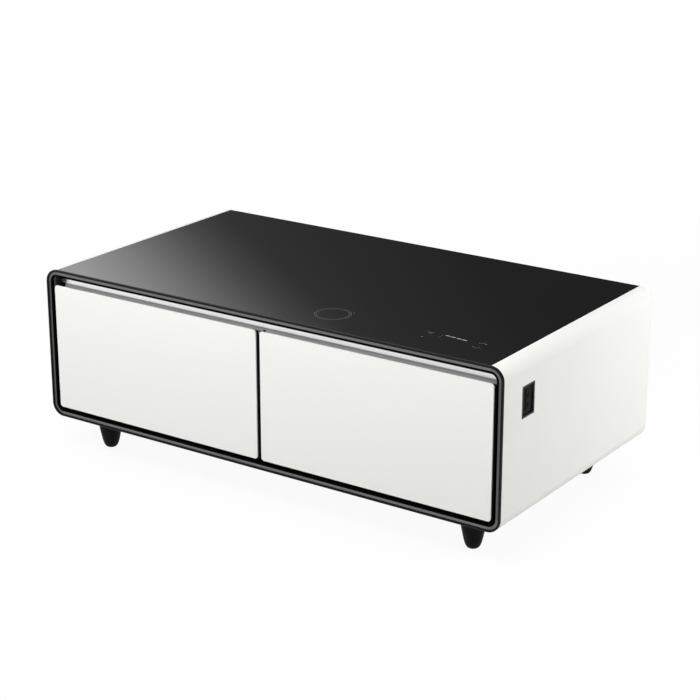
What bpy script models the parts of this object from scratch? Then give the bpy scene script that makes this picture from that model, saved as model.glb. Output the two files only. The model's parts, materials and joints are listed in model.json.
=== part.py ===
"""Refrigerator coffee table: a low cabinet with two chilled drawers under a black glass top.

Metres, +Z up. The origin is on the floor under the middle of the cabinet, +X is the right-hand
side seen from the front, and the drawers open towards -Y.
"""

import math

import bmesh
import bpy
from mathutils import Matrix, Vector

# Overall sizes
TABLE_WIDTH = 1.300
TABLE_DEPTH = 0.700
BODY_HEIGHT = 0.382
FOOT_HEIGHT = 0.090

# Clearances and steps of round shapes
SEAT_GAP = 0.0003
CUT_OVERRUN = 0.010
MERGE_DISTANCE = 0.00001
CORNER_STEPS = 4
SHOULDER_STEPS = 8
TURNED_STEPS = 24
PIPE_RESOLUTION = 2
SHARP_EDGE_DEGREES = 40

# Sheet metal cabinet
SHEET = 0.0010
SHOULDER_RADIUS = 0.0325
LEDGE_WIDTH = 0.015

# Glass top
GLASS_THICKNESS = 0.005
GLASS_REAR_INSET = 0.002

# Front frame: a bar with a rounded outer edge, and a sleeve that runs back to the cabinet's face
FRAME_FACE = 0.0125
FRAME_DEPTH = 0.010
FRAME_OUTER_EDGE_RADIUS = 0.005
FRAME_INNER_EDGE_RADIUS = 0.001
SLEEVE_WALL = 0.0025
FACE_SETBACK = 0.048

# Drawer fronts
FRONT_SETBACK = 0.002
FRONT_GLASS = 0.004
FRONT_SIDE_MARGIN = 0.0235
FRONT_BOTTOM_MARGIN = 0.025
FRONT_TOP_MARGIN = 0.039
FRONT_CORNER_RADIUS = 0.008
FRONTS_GAP = 0.0093

# Insulated core behind each front, and its gasket
CORE_REVEAL = 0.0037
CORE_TOP_CLEARANCE = 0.0035
CORE_CORNER_RADIUS = 0.012
GASKET_THICKNESS = 0.0074
GASKET_INSET = 0.004
GASKET_WIDTH = 0.012
GASKET_INNER_RADIUS = 0.002

# Finger-pull channel in the top of each core
CHANNEL_METAL = 0.0012
CHANNEL_WIDTH = 0.0225
CHANNEL_DEPTH = 0.0095
CHANNEL_FILLET = 0.008
CHANNEL_LIP_FILLET = 0.003
CHANNEL_LIP_DROP = 0.0008

# Insulation and liners
SIDE_WALL = 0.044
MULLION_HALF_WALL = 0.022
BASE_WALL = 0.036
TOP_WALL = 0.037
REAR_INSULATION = 0.036
LINER_WALL = 0.002
LINER_CORNER_RADIUS = 0.012
MULLION_WIDTH = 0.020
MULLION_DEPTH = 0.012

# Evaporator plates
EVAPORATOR_THICKNESS = 0.003
EVAPORATOR_SIDE_INSET = 0.030
EVAPORATOR_HEIGHT_INSET = 0.050
LINK_PIPE_RADIUS = 0.003

# Telescopic slides
SLIDE_THICKNESS = 0.0127
SLIDE_HEIGHT = 0.045
SLIDE_METAL = 0.0012
SLIDE_RUNNING_GAP = 0.0004
SLIDE_WEB_STEP = 0.003
SLIDE_LIP_SHORTENING = 0.003
SLIDE_FRONT_CLEARANCE = 0.004
SLIDE_REAR_CLEARANCE = 0.016

# Drawer tubs
TUB_WALL = 0.002
TUB_CORNER_RADIUS = 0.018
TUB_FLOOR_CLEARANCE = 0.010
TUB_TOP_CLEARANCE = 0.020
TUB_REAR_CLEARANCE = 0.018
TUB_RIM_WIDTH = 0.006

# Feet and the rails that they screw into
FOOT_SIDE_INSET = 0.115
FOOT_FRONT_INSET = 0.085
FOOT_REAR_INSET = 0.090
FOOT_BASE_RADIUS = 0.0100
FOOT_TOP_RADIUS = 0.0308
FOOT_STUD_RADIUS = 0.005
FOOT_STUD_TIP = 0.006
FOOT_HEIGHT_AND_RADIUS_SHARES = (
    (1.00, 1.000),
    (0.78, 0.970),
    (0.57, 0.860),
    (0.39, 0.700),
    (0.28, 0.605),
    (0.19, 0.505),
    (0.09, 0.355),
    (0.03, 0.165),
    (0.00, 0.000),
)
RAIL_WIDTH = 0.050
RAIL_THICKNESS = 0.004
RAIL_OVERHANG = 0.030

# Compressor and its tray
COMPRESSOR_RADIUS = 0.055
COMPRESSOR_HEIGHT = 0.155
COMPRESSOR_DOME_RADIUS = 0.030
COMPRESSOR_ROOM = 0.0145
COMPRESSOR_RIGHT_INSET = 0.420
COMPRESSOR_PLATE_THICKNESS = 0.003
COMPRESSOR_PLATE_LENGTH = 0.150
COMPRESSOR_PLATE_WIDTH = 0.070
COMPRESSOR_COVER_SIZE = 0.036
COMPRESSOR_COVER_HEIGHT = 0.050
TRAY_THICKNESS = 0.0015
TRAY_MARGIN = 0.004
TRAY_END = 0.020
BOSS_RADIUS = 0.009
BOSS_HEIGHT = 0.012
BOSS_INSET = 0.014

# Fan, shroud and condenser, side by side along X
FAN_RADIUS = 0.052
FAN_HUB_RADIUS = 0.018
FAN_HUB_LENGTH = 0.022
FAN_BLADES = 7
FAN_BLADE_THICKNESS = 0.0015
FAN_BLADE_CHORD = 0.026
FAN_BLADE_PITCH_DEGREES = 35
FAN_TIP_CLEARANCE = 0.003
FAN_SHAFT_RADIUS = 0.0025
FAN_SHAFT_LENGTH = 0.010
FAN_SHAFT_CLEARANCE = 0.0006
FAN_MOTOR_RADIUS = 0.016
FAN_MOTOR_LENGTH = 0.022
FAN_MOTOR_GAP = 0.0006
FAN_ARMS = 3
FAN_ARM_WIDTH = 0.006
FAN_ARM_THICKNESS = 0.003
FAN_ARM_REACH = 0.005
FAN_TOE_MARGIN = 0.001
SHROUD_THICKNESS = 0.002
SHROUD_HEIGHT = 0.180
SHROUD_MARGIN = 0.004
SHROUD_FOOT = 0.018
COMPRESSOR_TO_FAN = 0.120
CONDENSER_GAP = 0.040
CONDENSER_THICKNESS = 0.034
CONDENSER_END_PLATE = 0.003
CONDENSER_FIN = 0.002
CONDENSER_FINS = 16
CONDENSER_CAP = 0.006

# Refrigerant pipes and drier
PIPE_RADIUS = 0.003
PIPE_BEND_RADIUS = 0.016
PIPE_BEND_STEPS = 4
DISCHARGE_RISE = 0.032
SUCTION_RISE = 0.050
PIPE_STUB_OFFSET = 0.014
PIPE_BORE_CLEARANCE = 0.002
DRIER_RADIUS = 0.010
DRIER_LENGTH = 0.090
DRIER_NECK_RADIUS = 0.004
DRIER_TAPER = 0.014

# Rear panel, grille and mains inlet
ACCESS_LEFT_INSET = 0.330
ACCESS_RIGHT_INSET = 0.120
ACCESS_BOTTOM = 0.070
ACCESS_TOP_INSET = 0.090
ACCESS_CORNER_RADIUS = 0.010
GRILLE_OVERLAP = 0.014
GRILLE_COLUMNS = 3
GRILLE_ROWS = 10
GRILLE_SLOT = 0.006
GRILLE_EDGE = 0.018
GRILLE_BRIDGE = 0.018
INLET_SIDE_INSET = 0.150
INLET_HEIGHT_UP = 0.075
INLET_WIDTH = 0.030
INLET_HEIGHT = 0.022
INLET_WALL = 0.003
INLET_DEPTH = 0.018
INLET_FLANGE = 0.008
INLET_CORNER_RADIUS = 0.003

# Control box on the back of the insulation
BOX_SIDE_INSET = 0.120
BOX_WIDTH = 0.160
BOX_HEIGHT = 0.130
BOX_DEPTH = 0.045
BOX_WALL = 0.002
BOX_BOTTOM_UP = 0.150
BOARD_THICKNESS = 0.0016
BOARD_MARGIN = 0.003
BOARD_STANDOFF = 0.006
BOARD_STANDOFF_RADIUS = 0.004
BOARD_BLOCK_INSET = 0.012
BOARD_BLOCK_HEIGHT = 0.022
BOARD_BLOCK_SHARES = (
    (0.00, 0.10, 0.36, 0.55, 1.00),
    (0.46, 0.08, 0.72, 0.34, 0.70),
    (0.46, 0.50, 0.66, 0.86, 0.55),
    (0.80, 0.20, 0.98, 0.80, 0.40),
)

# Touch board and wireless charging coil, both under the glass
COIL_RIGHT_INSET = 0.510
COIL_FRONT_INSET = 0.104
COIL_RADIUS = 0.048
COIL_CORE_RADIUS = 0.012
COIL_THICKNESS = 0.006
COIL_STEP = 0.002
TOUCH_RIGHT_INSET = 0.187
TOUCH_FRONT_INSET = 0.104
TOUCH_WIDTH = 0.180
TOUCH_DEPTH = 0.070
TOUCH_THICKNESS = 0.004

# Socket port in the right side panel
PORT_FRONT_INSET = 0.111
PORT_TOP_INSET = 0.1025
PORT_WIDTH = 0.055
PORT_HEIGHT = 0.075
PORT_BORDER = 0.0045
PORT_FLANGE = 0.004
PORT_FLANGE_THICKNESS = 0.002
PORT_CORNER_RADIUS = 0.003
PORT_RECESS = 0.003
PORT_MODULE_DEPTH = 0.018
PORT_COLUMN_WIDTH = 0.014
PORT_COLUMN_HEIGHT = 0.048
PORT_COLUMN_PROUD = 0.0015
SOCKET_WIDTH = 0.0055
SOCKET_LENGTH = 0.0135
SOCKET_DEPTH = 0.012
SOCKET_PITCH = 0.023
TONGUE_WIDTH = 0.0020
TONGUE_LENGTH = 0.0105
TONGUE_OFFSET = 0.0008
TONGUE_SETBACK = 0.0012

# Planes of the cabinet
LEFT = -TABLE_WIDTH / 2
RIGHT = TABLE_WIDTH / 2
FRONT = -TABLE_DEPTH / 2
BACK = TABLE_DEPTH / 2
SIDES = (("left", -1), ("right", 1))
BODY_BOTTOM = FOOT_HEIGHT
BODY_TOP = BODY_BOTTOM + BODY_HEIGHT
GLASS_UNDERSIDE = BODY_TOP - GLASS_THICKNESS
LEDGE_TOP = GLASS_UNDERSIDE - SEAT_GAP
FRAME_BACK = FRONT + FRAME_DEPTH
CABINET_FACE = FRONT + FACE_SETBACK
SEAL_EDGE_INSET = FRAME_FACE - SLEEVE_WALL / 2
PANEL_FACE = BACK - SHEET
PANEL_BOTTOM = BODY_BOTTOM + SHEET + SEAT_GAP
PANEL_TOP = PANEL_BOTTOM + SHEET
FOAM_TOP = LEDGE_TOP - SHEET - SEAT_GAP
FOAM_BOTTOM = PANEL_TOP + SEAT_GAP
FOAM_FRONT = CABINET_FACE + LINER_WALL + SEAT_GAP

# Machine room across the back
COMPRESSOR_X = RIGHT - COMPRESSOR_RIGHT_INSET
MACHINE_ROOM_DEPTH = 2 * (COMPRESSOR_RADIUS + COMPRESSOR_ROOM)
FOAM_BACK = PANEL_FACE - MACHINE_ROOM_DEPTH
MACHINE_Y = (FOAM_BACK + PANEL_FACE) / 2
RAIL_BOTTOM = PANEL_TOP + SEAT_GAP
RAIL_TOP = RAIL_BOTTOM + RAIL_THICKNESS
TRAY_BOTTOM = RAIL_TOP + SEAT_GAP
TRAY_TOP = TRAY_BOTTOM + TRAY_THICKNESS

# Chilled compartments
LINER_FLOOR = BODY_BOTTOM + BASE_WALL
LINER_CEILING = BODY_TOP - TOP_WALL
EVAPORATOR_BACK = FOAM_BACK - REAR_INSULATION
EVAPORATOR_FRONT = EVAPORATOR_BACK - EVAPORATOR_THICKNESS
LINER_OUTER_BACK = EVAPORATOR_FRONT - SEAT_GAP
LINER_BACK = LINER_OUTER_BACK - LINER_WALL

# Drawer fronts and cores
FRONT_GLASS_FACE = FRONT + FRONT_SETBACK
FRONT_GLASS_BACK = FRONT_GLASS_FACE + FRONT_GLASS
CORE_FRONT = FRONT_GLASS_BACK + SEAT_GAP
GASKET_BACK = CABINET_FACE - SEAT_GAP
CORE_BACK = GASKET_BACK - GASKET_THICKNESS - SEAT_GAP
CORE_BOTTOM = BODY_BOTTOM + FRONT_BOTTOM_MARGIN - CORE_REVEAL
CORE_TOP = BODY_TOP - FRAME_FACE - CORE_TOP_CLEARANCE
FRONT_GLASS_TOP = BODY_TOP - FRONT_TOP_MARGIN
FRONT_GLASS_BOTTOM = BODY_BOTTOM + FRONT_BOTTOM_MARGIN
CHANNEL_FLOOR = FRONT_GLASS_TOP - CHANNEL_DEPTH
CHANNEL_BACK = CORE_FRONT + CHANNEL_METAL + CHANNEL_WIDTH

# Boards under the glass
COIL_X = RIGHT - COIL_RIGHT_INSET
TOUCH_X = RIGHT - TOUCH_RIGHT_INSET

# Slides and tubs
SLIDE_Z = (LINER_FLOOR + LINER_CEILING) / 2
SLIDE_FRONT_END = CABINET_FACE + SLIDE_FRONT_CLEARANCE
SLIDE_REAR_END = LINER_BACK - SLIDE_REAR_CLEARANCE
TUB_SIDE_ROOM = SEAT_GAP + SLIDE_THICKNESS + SEAT_GAP
TUB_FRONT = CORE_BACK + SEAT_GAP
TUB_BACK = LINER_BACK - TUB_REAR_CLEARANCE
TUB_FLOOR = LINER_FLOOR + TUB_FLOOR_CLEARANCE
TUB_TOP = LINER_CEILING - TUB_TOP_CLEARANCE

# Finishes: base colour, metallic, roughness
FINISHES = {
    "white_enamel": ((0.86, 0.87, 0.84), 0.0, 0.30),
    "white_glass": ((0.88, 0.89, 0.87), 0.0, 0.10),
    "black_glass": ((0.012, 0.012, 0.013), 0.0, 0.06),
    "black_plastic": ((0.015, 0.015, 0.016), 0.0, 0.45),
    "black_lacquer": ((0.020, 0.020, 0.021), 0.0, 0.25),
    "bright_aluminium": ((0.80, 0.80, 0.81), 1.0, 0.18),
    "galvanised": ((0.55, 0.56, 0.57), 0.9, 0.45),
    "bearing_steel": ((0.62, 0.63, 0.64), 1.0, 0.28),
    "grey_liner": ((0.78, 0.79, 0.80), 0.0, 0.40),
    "clear_tub": ((0.82, 0.84, 0.86), 0.0, 0.30),
    "soft_gasket": ((0.08, 0.08, 0.085), 0.0, 0.70),
    "yellow_foam": ((0.78, 0.68, 0.42), 0.0, 0.90),
    "copper": ((0.72, 0.40, 0.27), 1.0, 0.30),
    "dark_steel": ((0.03, 0.03, 0.032), 0.4, 0.40),
    "board_green": ((0.03, 0.22, 0.10), 0.0, 0.50),
    "dark_grey": ((0.07, 0.07, 0.075), 0.0, 0.40),
}

AXIS_TURNS = {
    "X": Matrix(((0, 0, 1), (1, 0, 0), (0, 1, 0))).to_4x4(),
    "Y": Matrix(((1, 0, 0), (0, 0, -1), (0, 1, 0))).to_4x4(),
    "Z": Matrix.Identity(4),
}
AXIS_UNITS = {"X": Vector((1, 0, 0)), "Y": Vector((0, 1, 0)), "Z": Vector((0, 0, 1))}


# Scene and collections
def clear_scene():
    """Removes what the scene holds at the start."""
    for old in list(bpy.data.objects):
        bpy.data.objects.remove(old, do_unlink=True)


def new_collection(name):
    """A collection linked to the scene."""
    collection = bpy.data.collections.new(name)
    bpy.context.scene.collection.children.link(collection)
    return collection


clear_scene()
PARTS = new_collection("refrigerator_coffee_table")
CUTTERS = new_collection("cutters_and_guides")


def material_for(name, finish):
    """A Principled material with the colour, metallic and roughness of a finish."""
    colour, metallic, roughness = FINISHES[finish]
    material = bpy.data.materials.new(name)
    material.use_nodes = True
    shader = material.node_tree.nodes["Principled BSDF"]
    shader.inputs["Base Color"].default_value = (*colour, 1.0)
    shader.inputs["Metallic"].default_value = metallic
    shader.inputs["Roughness"].default_value = roughness
    material.diffuse_color = (*colour, 1.0)
    return material


def finish_part(part, finish, parent):
    """Gives a finished sub-part its material and its parent, with its place kept."""
    part.data.materials.clear()
    part.data.materials.append(material_for(part.name, finish))
    bpy.context.view_layer.update()
    place = part.matrix_world.copy()
    part.parent = parent
    part.matrix_parent_inverse = parent.matrix_world.inverted()
    part.matrix_world = place
    return part


def make_empty(name, place, parent=None):
    """An empty that carries the pieces of one rigid body, on its joint's axis."""
    empty = bpy.data.objects.new(name, None)
    PARTS.objects.link(empty)
    empty.location = place
    bpy.context.view_layer.update()
    if parent:
        empty.parent = parent
        empty.matrix_parent_inverse = parent.matrix_world.inverted()
        bpy.context.view_layer.update()
    return empty


# Outlines
def arc(centre, radius, first_degrees, last_degrees, steps=CORNER_STEPS):
    """Points on an arc, both ends included."""
    points = []
    for step in range(steps + 1):
        angle = math.radians(first_degrees + (last_degrees - first_degrees) * step / steps)
        points.append((centre[0] + radius * math.cos(angle), centre[1] + radius * math.sin(angle)))
    return points


def rectangle(low, high):
    """The four corners of a rectangle."""
    return [(low[0], low[1]), (high[0], low[1]), (high[0], high[1]), (low[0], high[1])]


def rounded_rectangle(low, high, radius, steps=CORNER_STEPS):
    """A rectangle with round corners."""
    left, bottom = low[0] + radius, low[1] + radius
    right, top = high[0] - radius, high[1] - radius
    return (
        arc((left, bottom), radius, 180, 270, steps)
        + arc((right, bottom), radius, 270, 360, steps)
        + arc((right, top), radius, 0, 90, steps)
        + arc((left, top), radius, 90, 180, steps)
    )


def circle(centre, radius, steps=TURNED_STEPS):
    """A circle as a closed outline."""
    return arc(centre, radius, 0, 360 - 360 / steps, steps - 1)


def grown(low, high, amount):
    """The corners of a rectangle that is larger by an amount on every side."""
    return (low[0] - amount, low[1] - amount), (high[0] + amount, high[1] + amount)


def kept_below(outline, limit, sense):
    """A convex outline cut off level at a height; sense is -1 to keep what lies above it."""
    kept = []
    for start, end in zip(outline, outline[1:] + outline[:1]):
        start_over = sense * start[1] - limit
        end_over = sense * end[1] - limit
        if start_over <= 0:
            kept.append(start)
        if start_over * end_over < 0:
            share = start_over / (start_over - end_over)
            kept.append(tuple(a + (b - a) * share for a, b in zip(start, end)))
    return kept


# Solids
def curve_to_mesh(name, guide):
    """Makes a curve object a mesh object with welded caps, in the same place."""
    bpy.context.view_layer.update()
    graph = bpy.context.evaluated_depsgraph_get()
    mesh = bpy.data.meshes.new_from_object(guide.evaluated_get(graph))
    place = guide.matrix_world.copy()
    bpy.data.objects.remove(guide, do_unlink=True)
    solid = bpy.data.objects.new(name, mesh)
    PARTS.objects.link(solid)
    solid.matrix_world = place
    shape = bmesh.new()
    shape.from_mesh(mesh)
    bmesh.ops.remove_doubles(shape, verts=shape.verts, dist=MERGE_DISTANCE)
    if all(edge.is_manifold for edge in shape.edges):
        bmesh.ops.recalc_face_normals(shape, faces=shape.faces)
    shape.to_mesh(mesh)
    shape.free()
    return solid


def flat_curve(name, outlines, low, high, axis, closed):
    """A flat curve with an extrusion from low to high along an axis."""
    curve = bpy.data.curves.new(name, "CURVE")
    curve.dimensions = "2D"
    curve.fill_mode = "BOTH" if closed else "NONE"
    curve.extrude = (high - low) / 2
    for outline in outlines:
        spline = curve.splines.new("POLY")
        spline.points.add(len(outline) - 1)
        for point, (across, up) in zip(spline.points, outline):
            point.co = (across, up, 0, 1)
        spline.use_cyclic_u = closed
    guide = bpy.data.objects.new(name, curve)
    PARTS.objects.link(guide)
    guide.matrix_world = Matrix.Translation(AXIS_UNITS[axis] * (low + high) / 2) @ AXIS_TURNS[axis]
    return guide


def prism(name, outlines, low, high, axis):
    """A flat outline, with any holes, extruded from low to high along an axis.

    Outlines hold (x, y) for axis Z, (x, z) for axis Y and (y, z) for axis X.
    """
    return curve_to_mesh(name, flat_curve(name, outlines, low, high, axis, True))


def bent_sheet(name, path, low, high, axis, wall, side):
    """A sheet of even thickness bent along an open path; side says which way the wall grows."""
    sheet = curve_to_mesh(name, flat_curve(name, [path], low, high, axis, False))
    thicken = sheet.modifiers.new("thickness", "SOLIDIFY")
    thicken.thickness = wall
    thicken.offset = side
    thicken.use_even_offset = True
    return sheet


def block(name, low, high):
    """A box between two corners, with its origin at its middle."""
    size = [top - bottom for bottom, top in zip(low, high)]
    middle = [(top + bottom) / 2 for bottom, top in zip(low, high)]
    mesh = bpy.data.meshes.new(name)
    shape = bmesh.new()
    bmesh.ops.create_cube(shape, size=1, matrix=Matrix.Diagonal((*size, 1)))
    shape.to_mesh(mesh)
    shape.free()
    box = bpy.data.objects.new(name, mesh)
    PARTS.objects.link(box)
    box.location = middle
    return box


def swept_ring(name, outline, section, place, axis):
    """A closed frame: a section of (inset, rise along the curve's own Z) swept round an outline."""
    section_curve = flat_curve(name + "_section", [section], 0, 0, "Z", True)
    section_curve.data.fill_mode = "NONE"
    path = flat_curve(name, [outline], place, place, axis, True)
    path.data.fill_mode = "NONE"
    path.data.bevel_mode = "OBJECT"
    path.data.bevel_object = section_curve
    ring = curve_to_mesh(name, path)
    bpy.data.objects.remove(section_curve, do_unlink=True)
    smooth(ring)
    return ring


def turned(name, profile, place, axis, steps=TURNED_STEPS):
    """A turned solid from a profile of (radius, height) that runs down its outer side."""
    mesh = bpy.data.meshes.new(name)
    shape = bmesh.new()
    corners = [shape.verts.new((radius, 0, height)) for radius, height in profile]
    for upper, lower in zip(corners, corners[1:]):
        shape.edges.new((upper, lower))
    shape.to_mesh(mesh)
    shape.free()
    solid = bpy.data.objects.new(name, mesh)
    PARTS.objects.link(solid)
    screw = solid.modifiers.new("turn", "SCREW")
    screw.steps = steps
    screw.render_steps = steps
    screw.use_merge_vertices = True
    screw.merge_threshold = MERGE_DISTANCE
    screw.use_smooth_shade = True
    solid.matrix_world = Matrix.Translation(place) @ AXIS_TURNS[axis]
    return solid


def pipe(name, route, radius):
    """A pipe along a smooth route of points."""
    curve = bpy.data.curves.new(name, "CURVE")
    curve.dimensions = "3D"
    curve.bevel_depth = radius
    curve.bevel_resolution = PIPE_RESOLUTION
    curve.use_fill_caps = True
    spline = curve.splines.new("POLY")
    spline.points.add(len(route) - 1)
    for point, place in zip(spline.points, route):
        point.co = (*place, 1)
    guide = bpy.data.objects.new(name, curve)
    PARTS.objects.link(guide)
    solid = curve_to_mesh(name, guide)
    smooth(solid)
    return solid


def rounded_route(corners, radius, steps=PIPE_BEND_STEPS):
    """A route through corners with each bend rounded to a radius."""
    route = [Vector(corners[0])]
    for before, corner, after in zip(corners, corners[1:], corners[2:]):
        corner = Vector(corner)
        arriving = (corner - Vector(before)).normalized()
        leaving = (Vector(after) - corner).normalized()
        middle = corner - arriving * radius + leaving * radius
        for step in range(steps + 1):
            angle = math.pi / 2 * step / steps
            swing = arriving * math.sin(angle) - leaving * math.cos(angle)
            route.append(middle + swing * radius)
    route.append(Vector(corners[-1]))
    return route


def smooth(part):
    """Smooth shading with sharp edges kept."""
    part.data.shade_smooth()
    part.data.set_sharp_from_angle(angle=math.radians(SHARP_EDGE_DEGREES))


def combine(target, tool, operation):
    """Cuts, joins or intersects a part with a tool, which becomes a hidden guide."""
    for old in list(tool.users_collection):
        old.objects.unlink(tool)
    CUTTERS.objects.link(tool)
    tool.hide_render = True
    tool.display_type = "WIRE"
    change = target.modifiers.new(tool.name, "BOOLEAN")
    change.operation = operation
    change.object = tool
    change.solver = "EXACT"
    return target


def cut(target, tool):
    """Takes a tool's shape out of a part."""
    return combine(target, tool, "DIFFERENCE")


def join(target, tool):
    """Adds a tool's shape to a part."""
    return combine(target, tool, "UNION")


def keep_inside(target, tool):
    """Keeps only what lies inside a tool's shape."""
    return combine(target, tool, "INTERSECT")


# Cabinet shell
def side_shell_path(side):
    """Skin of one side, from the ledge under the glass round to the flange under the base."""
    inner = SHOULDER_RADIUS + LEDGE_WIDTH
    top_centre = BODY_TOP - SHOULDER_RADIUS
    bottom_centre = BODY_BOTTOM + SHOULDER_RADIUS
    path = [(inner, LEDGE_TOP), (SHOULDER_RADIUS, LEDGE_TOP)]
    path += arc((SHOULDER_RADIUS, top_centre), SHOULDER_RADIUS, 90, 180, SHOULDER_STEPS)
    path += arc((SHOULDER_RADIUS, bottom_centre), SHOULDER_RADIUS, 180, 270, SHOULDER_STEPS)
    path.append((inner, BODY_BOTTOM))
    return [(side * (RIGHT - across), up) for across, up in path]


def make_side_shell(name, side):
    """White side panel with rounded shoulders; side is -1 for the left one and 1 for the right."""
    start = FRAME_BACK + SEAT_GAP
    end = PANEL_FACE - SEAT_GAP
    return bent_sheet(name, side_shell_path(side), start, end, "Y", SHEET, -side)


def make_base_panel():
    """Steel floor of the cabinet, on the side shells' bottom flanges, with holes for the studs."""
    low = (LEFT + SHOULDER_RADIUS, FRAME_BACK + SEAT_GAP)
    high = (RIGHT - SHOULDER_RADIUS, PANEL_FACE - SEAT_GAP)
    holes = [circle((x, y), FOOT_STUD_RADIUS + SEAT_GAP) for x, y in foot_places()]
    return prism("base_panel", [rectangle(low, high)] + holes, PANEL_BOTTOM, PANEL_TOP, "Z")


def make_top_deck():
    """Steel deck under the glass, with openings for the coil and the touch board."""
    low = (LEFT + SHOULDER_RADIUS + LEDGE_WIDTH + SEAT_GAP, FRAME_BACK + SEAT_GAP)
    high = (-low[0], PANEL_FACE - SEAT_GAP)
    coil = circle(coil_place(), COIL_RADIUS + SEAT_GAP)
    touch = rectangle(*grown(*touch_board_corners(), SEAT_GAP))
    return prism("top_deck", [rectangle(low, high), coil, touch], LEDGE_TOP - SHEET, LEDGE_TOP, "Z")


def make_top_glass():
    """Black tempered glass between the two shoulders."""
    low = (LEFT + SHOULDER_RADIUS + SEAT_GAP, FRAME_BACK + SEAT_GAP)
    high = (-low[0], BACK - GLASS_REAR_INSET)
    return prism("top_glass", [rectangle(low, high)], GLASS_UNDERSIDE, BODY_TOP, "Z")


def rear_panel_outline():
    """The body's outline, stepped down under the glass between the shoulders."""
    step = LEDGE_TOP - SHEET
    inner = RIGHT - SHOULDER_RADIUS
    top_centre = BODY_TOP - SHOULDER_RADIUS
    bottom_centre = BODY_BOTTOM + SHOULDER_RADIUS
    half = arc((inner, bottom_centre), SHOULDER_RADIUS, 270, 360, SHOULDER_STEPS)
    half += arc((inner, top_centre), SHOULDER_RADIUS, 0, 90, SHOULDER_STEPS)
    half.append((inner, step))
    return half + [(-across, up) for across, up in reversed(half)]


def access_corners():
    """Lower left and upper right corner of the opening in the rear panel."""
    low = (LEFT + ACCESS_LEFT_INSET, BODY_BOTTOM + ACCESS_BOTTOM)
    high = (RIGHT - ACCESS_RIGHT_INSET, BODY_TOP - ACCESS_TOP_INSET)
    return low, high


def make_rear_panel():
    """White rear panel with the opening of the machine room and the mains inlet's hole."""
    access = rounded_rectangle(*access_corners(), ACCESS_CORNER_RADIUS)
    inlet = rounded_rectangle(*grown(*inlet_corners(), SEAT_GAP), INLET_CORNER_RADIUS + SEAT_GAP)
    return prism("rear_panel", [rear_panel_outline(), access, inlet], PANEL_FACE, BACK, "Y")


def make_rear_grille():
    """Slotted cover behind the rear panel's opening."""
    low, high = grown(*access_corners(), GRILLE_OVERLAP)
    first = (low[0] + GRILLE_OVERLAP + GRILLE_EDGE, low[1] + GRILLE_OVERLAP + GRILLE_EDGE)
    last = (high[0] - GRILLE_OVERLAP - GRILLE_EDGE, high[1] - GRILLE_OVERLAP - GRILLE_EDGE)
    length = (last[0] - first[0] - (GRILLE_COLUMNS - 1) * GRILLE_BRIDGE) / GRILLE_COLUMNS
    pitch = (last[1] - first[1] - GRILLE_SLOT) / (GRILLE_ROWS - 1)
    outlines = [rectangle(low, high)]
    for column in range(GRILLE_COLUMNS):
        start = first[0] + column * (length + GRILLE_BRIDGE)
        for row in range(GRILLE_ROWS):
            bottom = first[1] + row * pitch
            outlines.append(rectangle((start, bottom), (start + length, bottom + GRILLE_SLOT)))
    back = PANEL_FACE - SEAT_GAP
    return prism("rear_grille", outlines, back - SHEET, back, "Y")


def frame_outline(inset):
    """The front frame's outline, drawn in by an inset."""
    low = (LEFT + inset, BODY_BOTTOM + inset)
    high = (RIGHT - inset, BODY_TOP - inset)
    return rounded_rectangle(low, high, SHOULDER_RADIUS - inset, SHOULDER_STEPS)


def frame_section():
    """Section of the frame as (inset from the outline, rise towards the viewer)."""
    outer = FRAME_OUTER_EDGE_RADIUS
    inner = FRAME_INNER_EDGE_RADIUS
    sleeve_back = FACE_SETBACK - SEAT_GAP
    section = [(0, FRAME_DEPTH)]
    section += arc((outer, outer), outer, 180, 270)
    section += arc((FRAME_FACE - inner, inner), inner, 270, 360, CORNER_STEPS // 2)
    section.append((FRAME_FACE, sleeve_back))
    section.append((FRAME_FACE - SLEEVE_WALL, sleeve_back))
    section.append((FRAME_FACE - SLEEVE_WALL, FRAME_DEPTH))
    return [(inset, -depth) for inset, depth in section]


def make_front_frame():
    """Black frame round both drawers: a rounded bar and the sleeve behind it."""
    return swept_ring("front_frame", frame_outline(0), frame_section(), FRONT, "Y")


# Insulation, liners and mullion
def liner_corners(side):
    """Inner corners of one compartment in X and Z; side is -1 for the left one."""
    outer = side * (RIGHT - SIDE_WALL)
    inner = side * MULLION_HALF_WALL
    return (min(outer, inner), LINER_FLOOR), (max(outer, inner), LINER_CEILING)


def flange_corners(side):
    """Outer corners of a liner's front flange, which closes the sleeve's rear edge."""
    edge = SEAL_EDGE_INSET
    outer = side * (RIGHT - edge)
    inner = side * (MULLION_WIDTH / 2 + SEAT_GAP)
    low = (min(outer, inner), BODY_BOTTOM + edge)
    high = (max(outer, inner), BODY_TOP - edge)
    return low, high


def make_liner(name, side):
    """Moulded compartment, open at the front, with a flange that the gasket seals on."""
    low, high = liner_corners(side)
    radius = LINER_CORNER_RADIUS
    outer = rounded_rectangle(*grown(low, high, LINER_WALL), radius + LINER_WALL)
    flange_back = CABINET_FACE + LINER_WALL
    liner = prism(name, [rectangle(*flange_corners(side))], CABINET_FACE, flange_back, "Y")
    shell = prism(name + "_shell", [outer], CABINET_FACE + LINER_WALL / 2, LINER_OUTER_BACK, "Y")
    join(liner, shell)
    inner = rounded_rectangle(low, high, radius)
    cut(liner, prism(name + "_room", [inner], CABINET_FACE - CUT_OVERRUN, LINER_BACK, "Y"))
    return liner


def mullion_corners():
    """Corners of the bar between the two compartments in X and Z."""
    edge = SEAL_EDGE_INSET
    return (-MULLION_WIDTH / 2, BODY_BOTTOM + edge), (MULLION_WIDTH / 2, BODY_TOP - edge)


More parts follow.
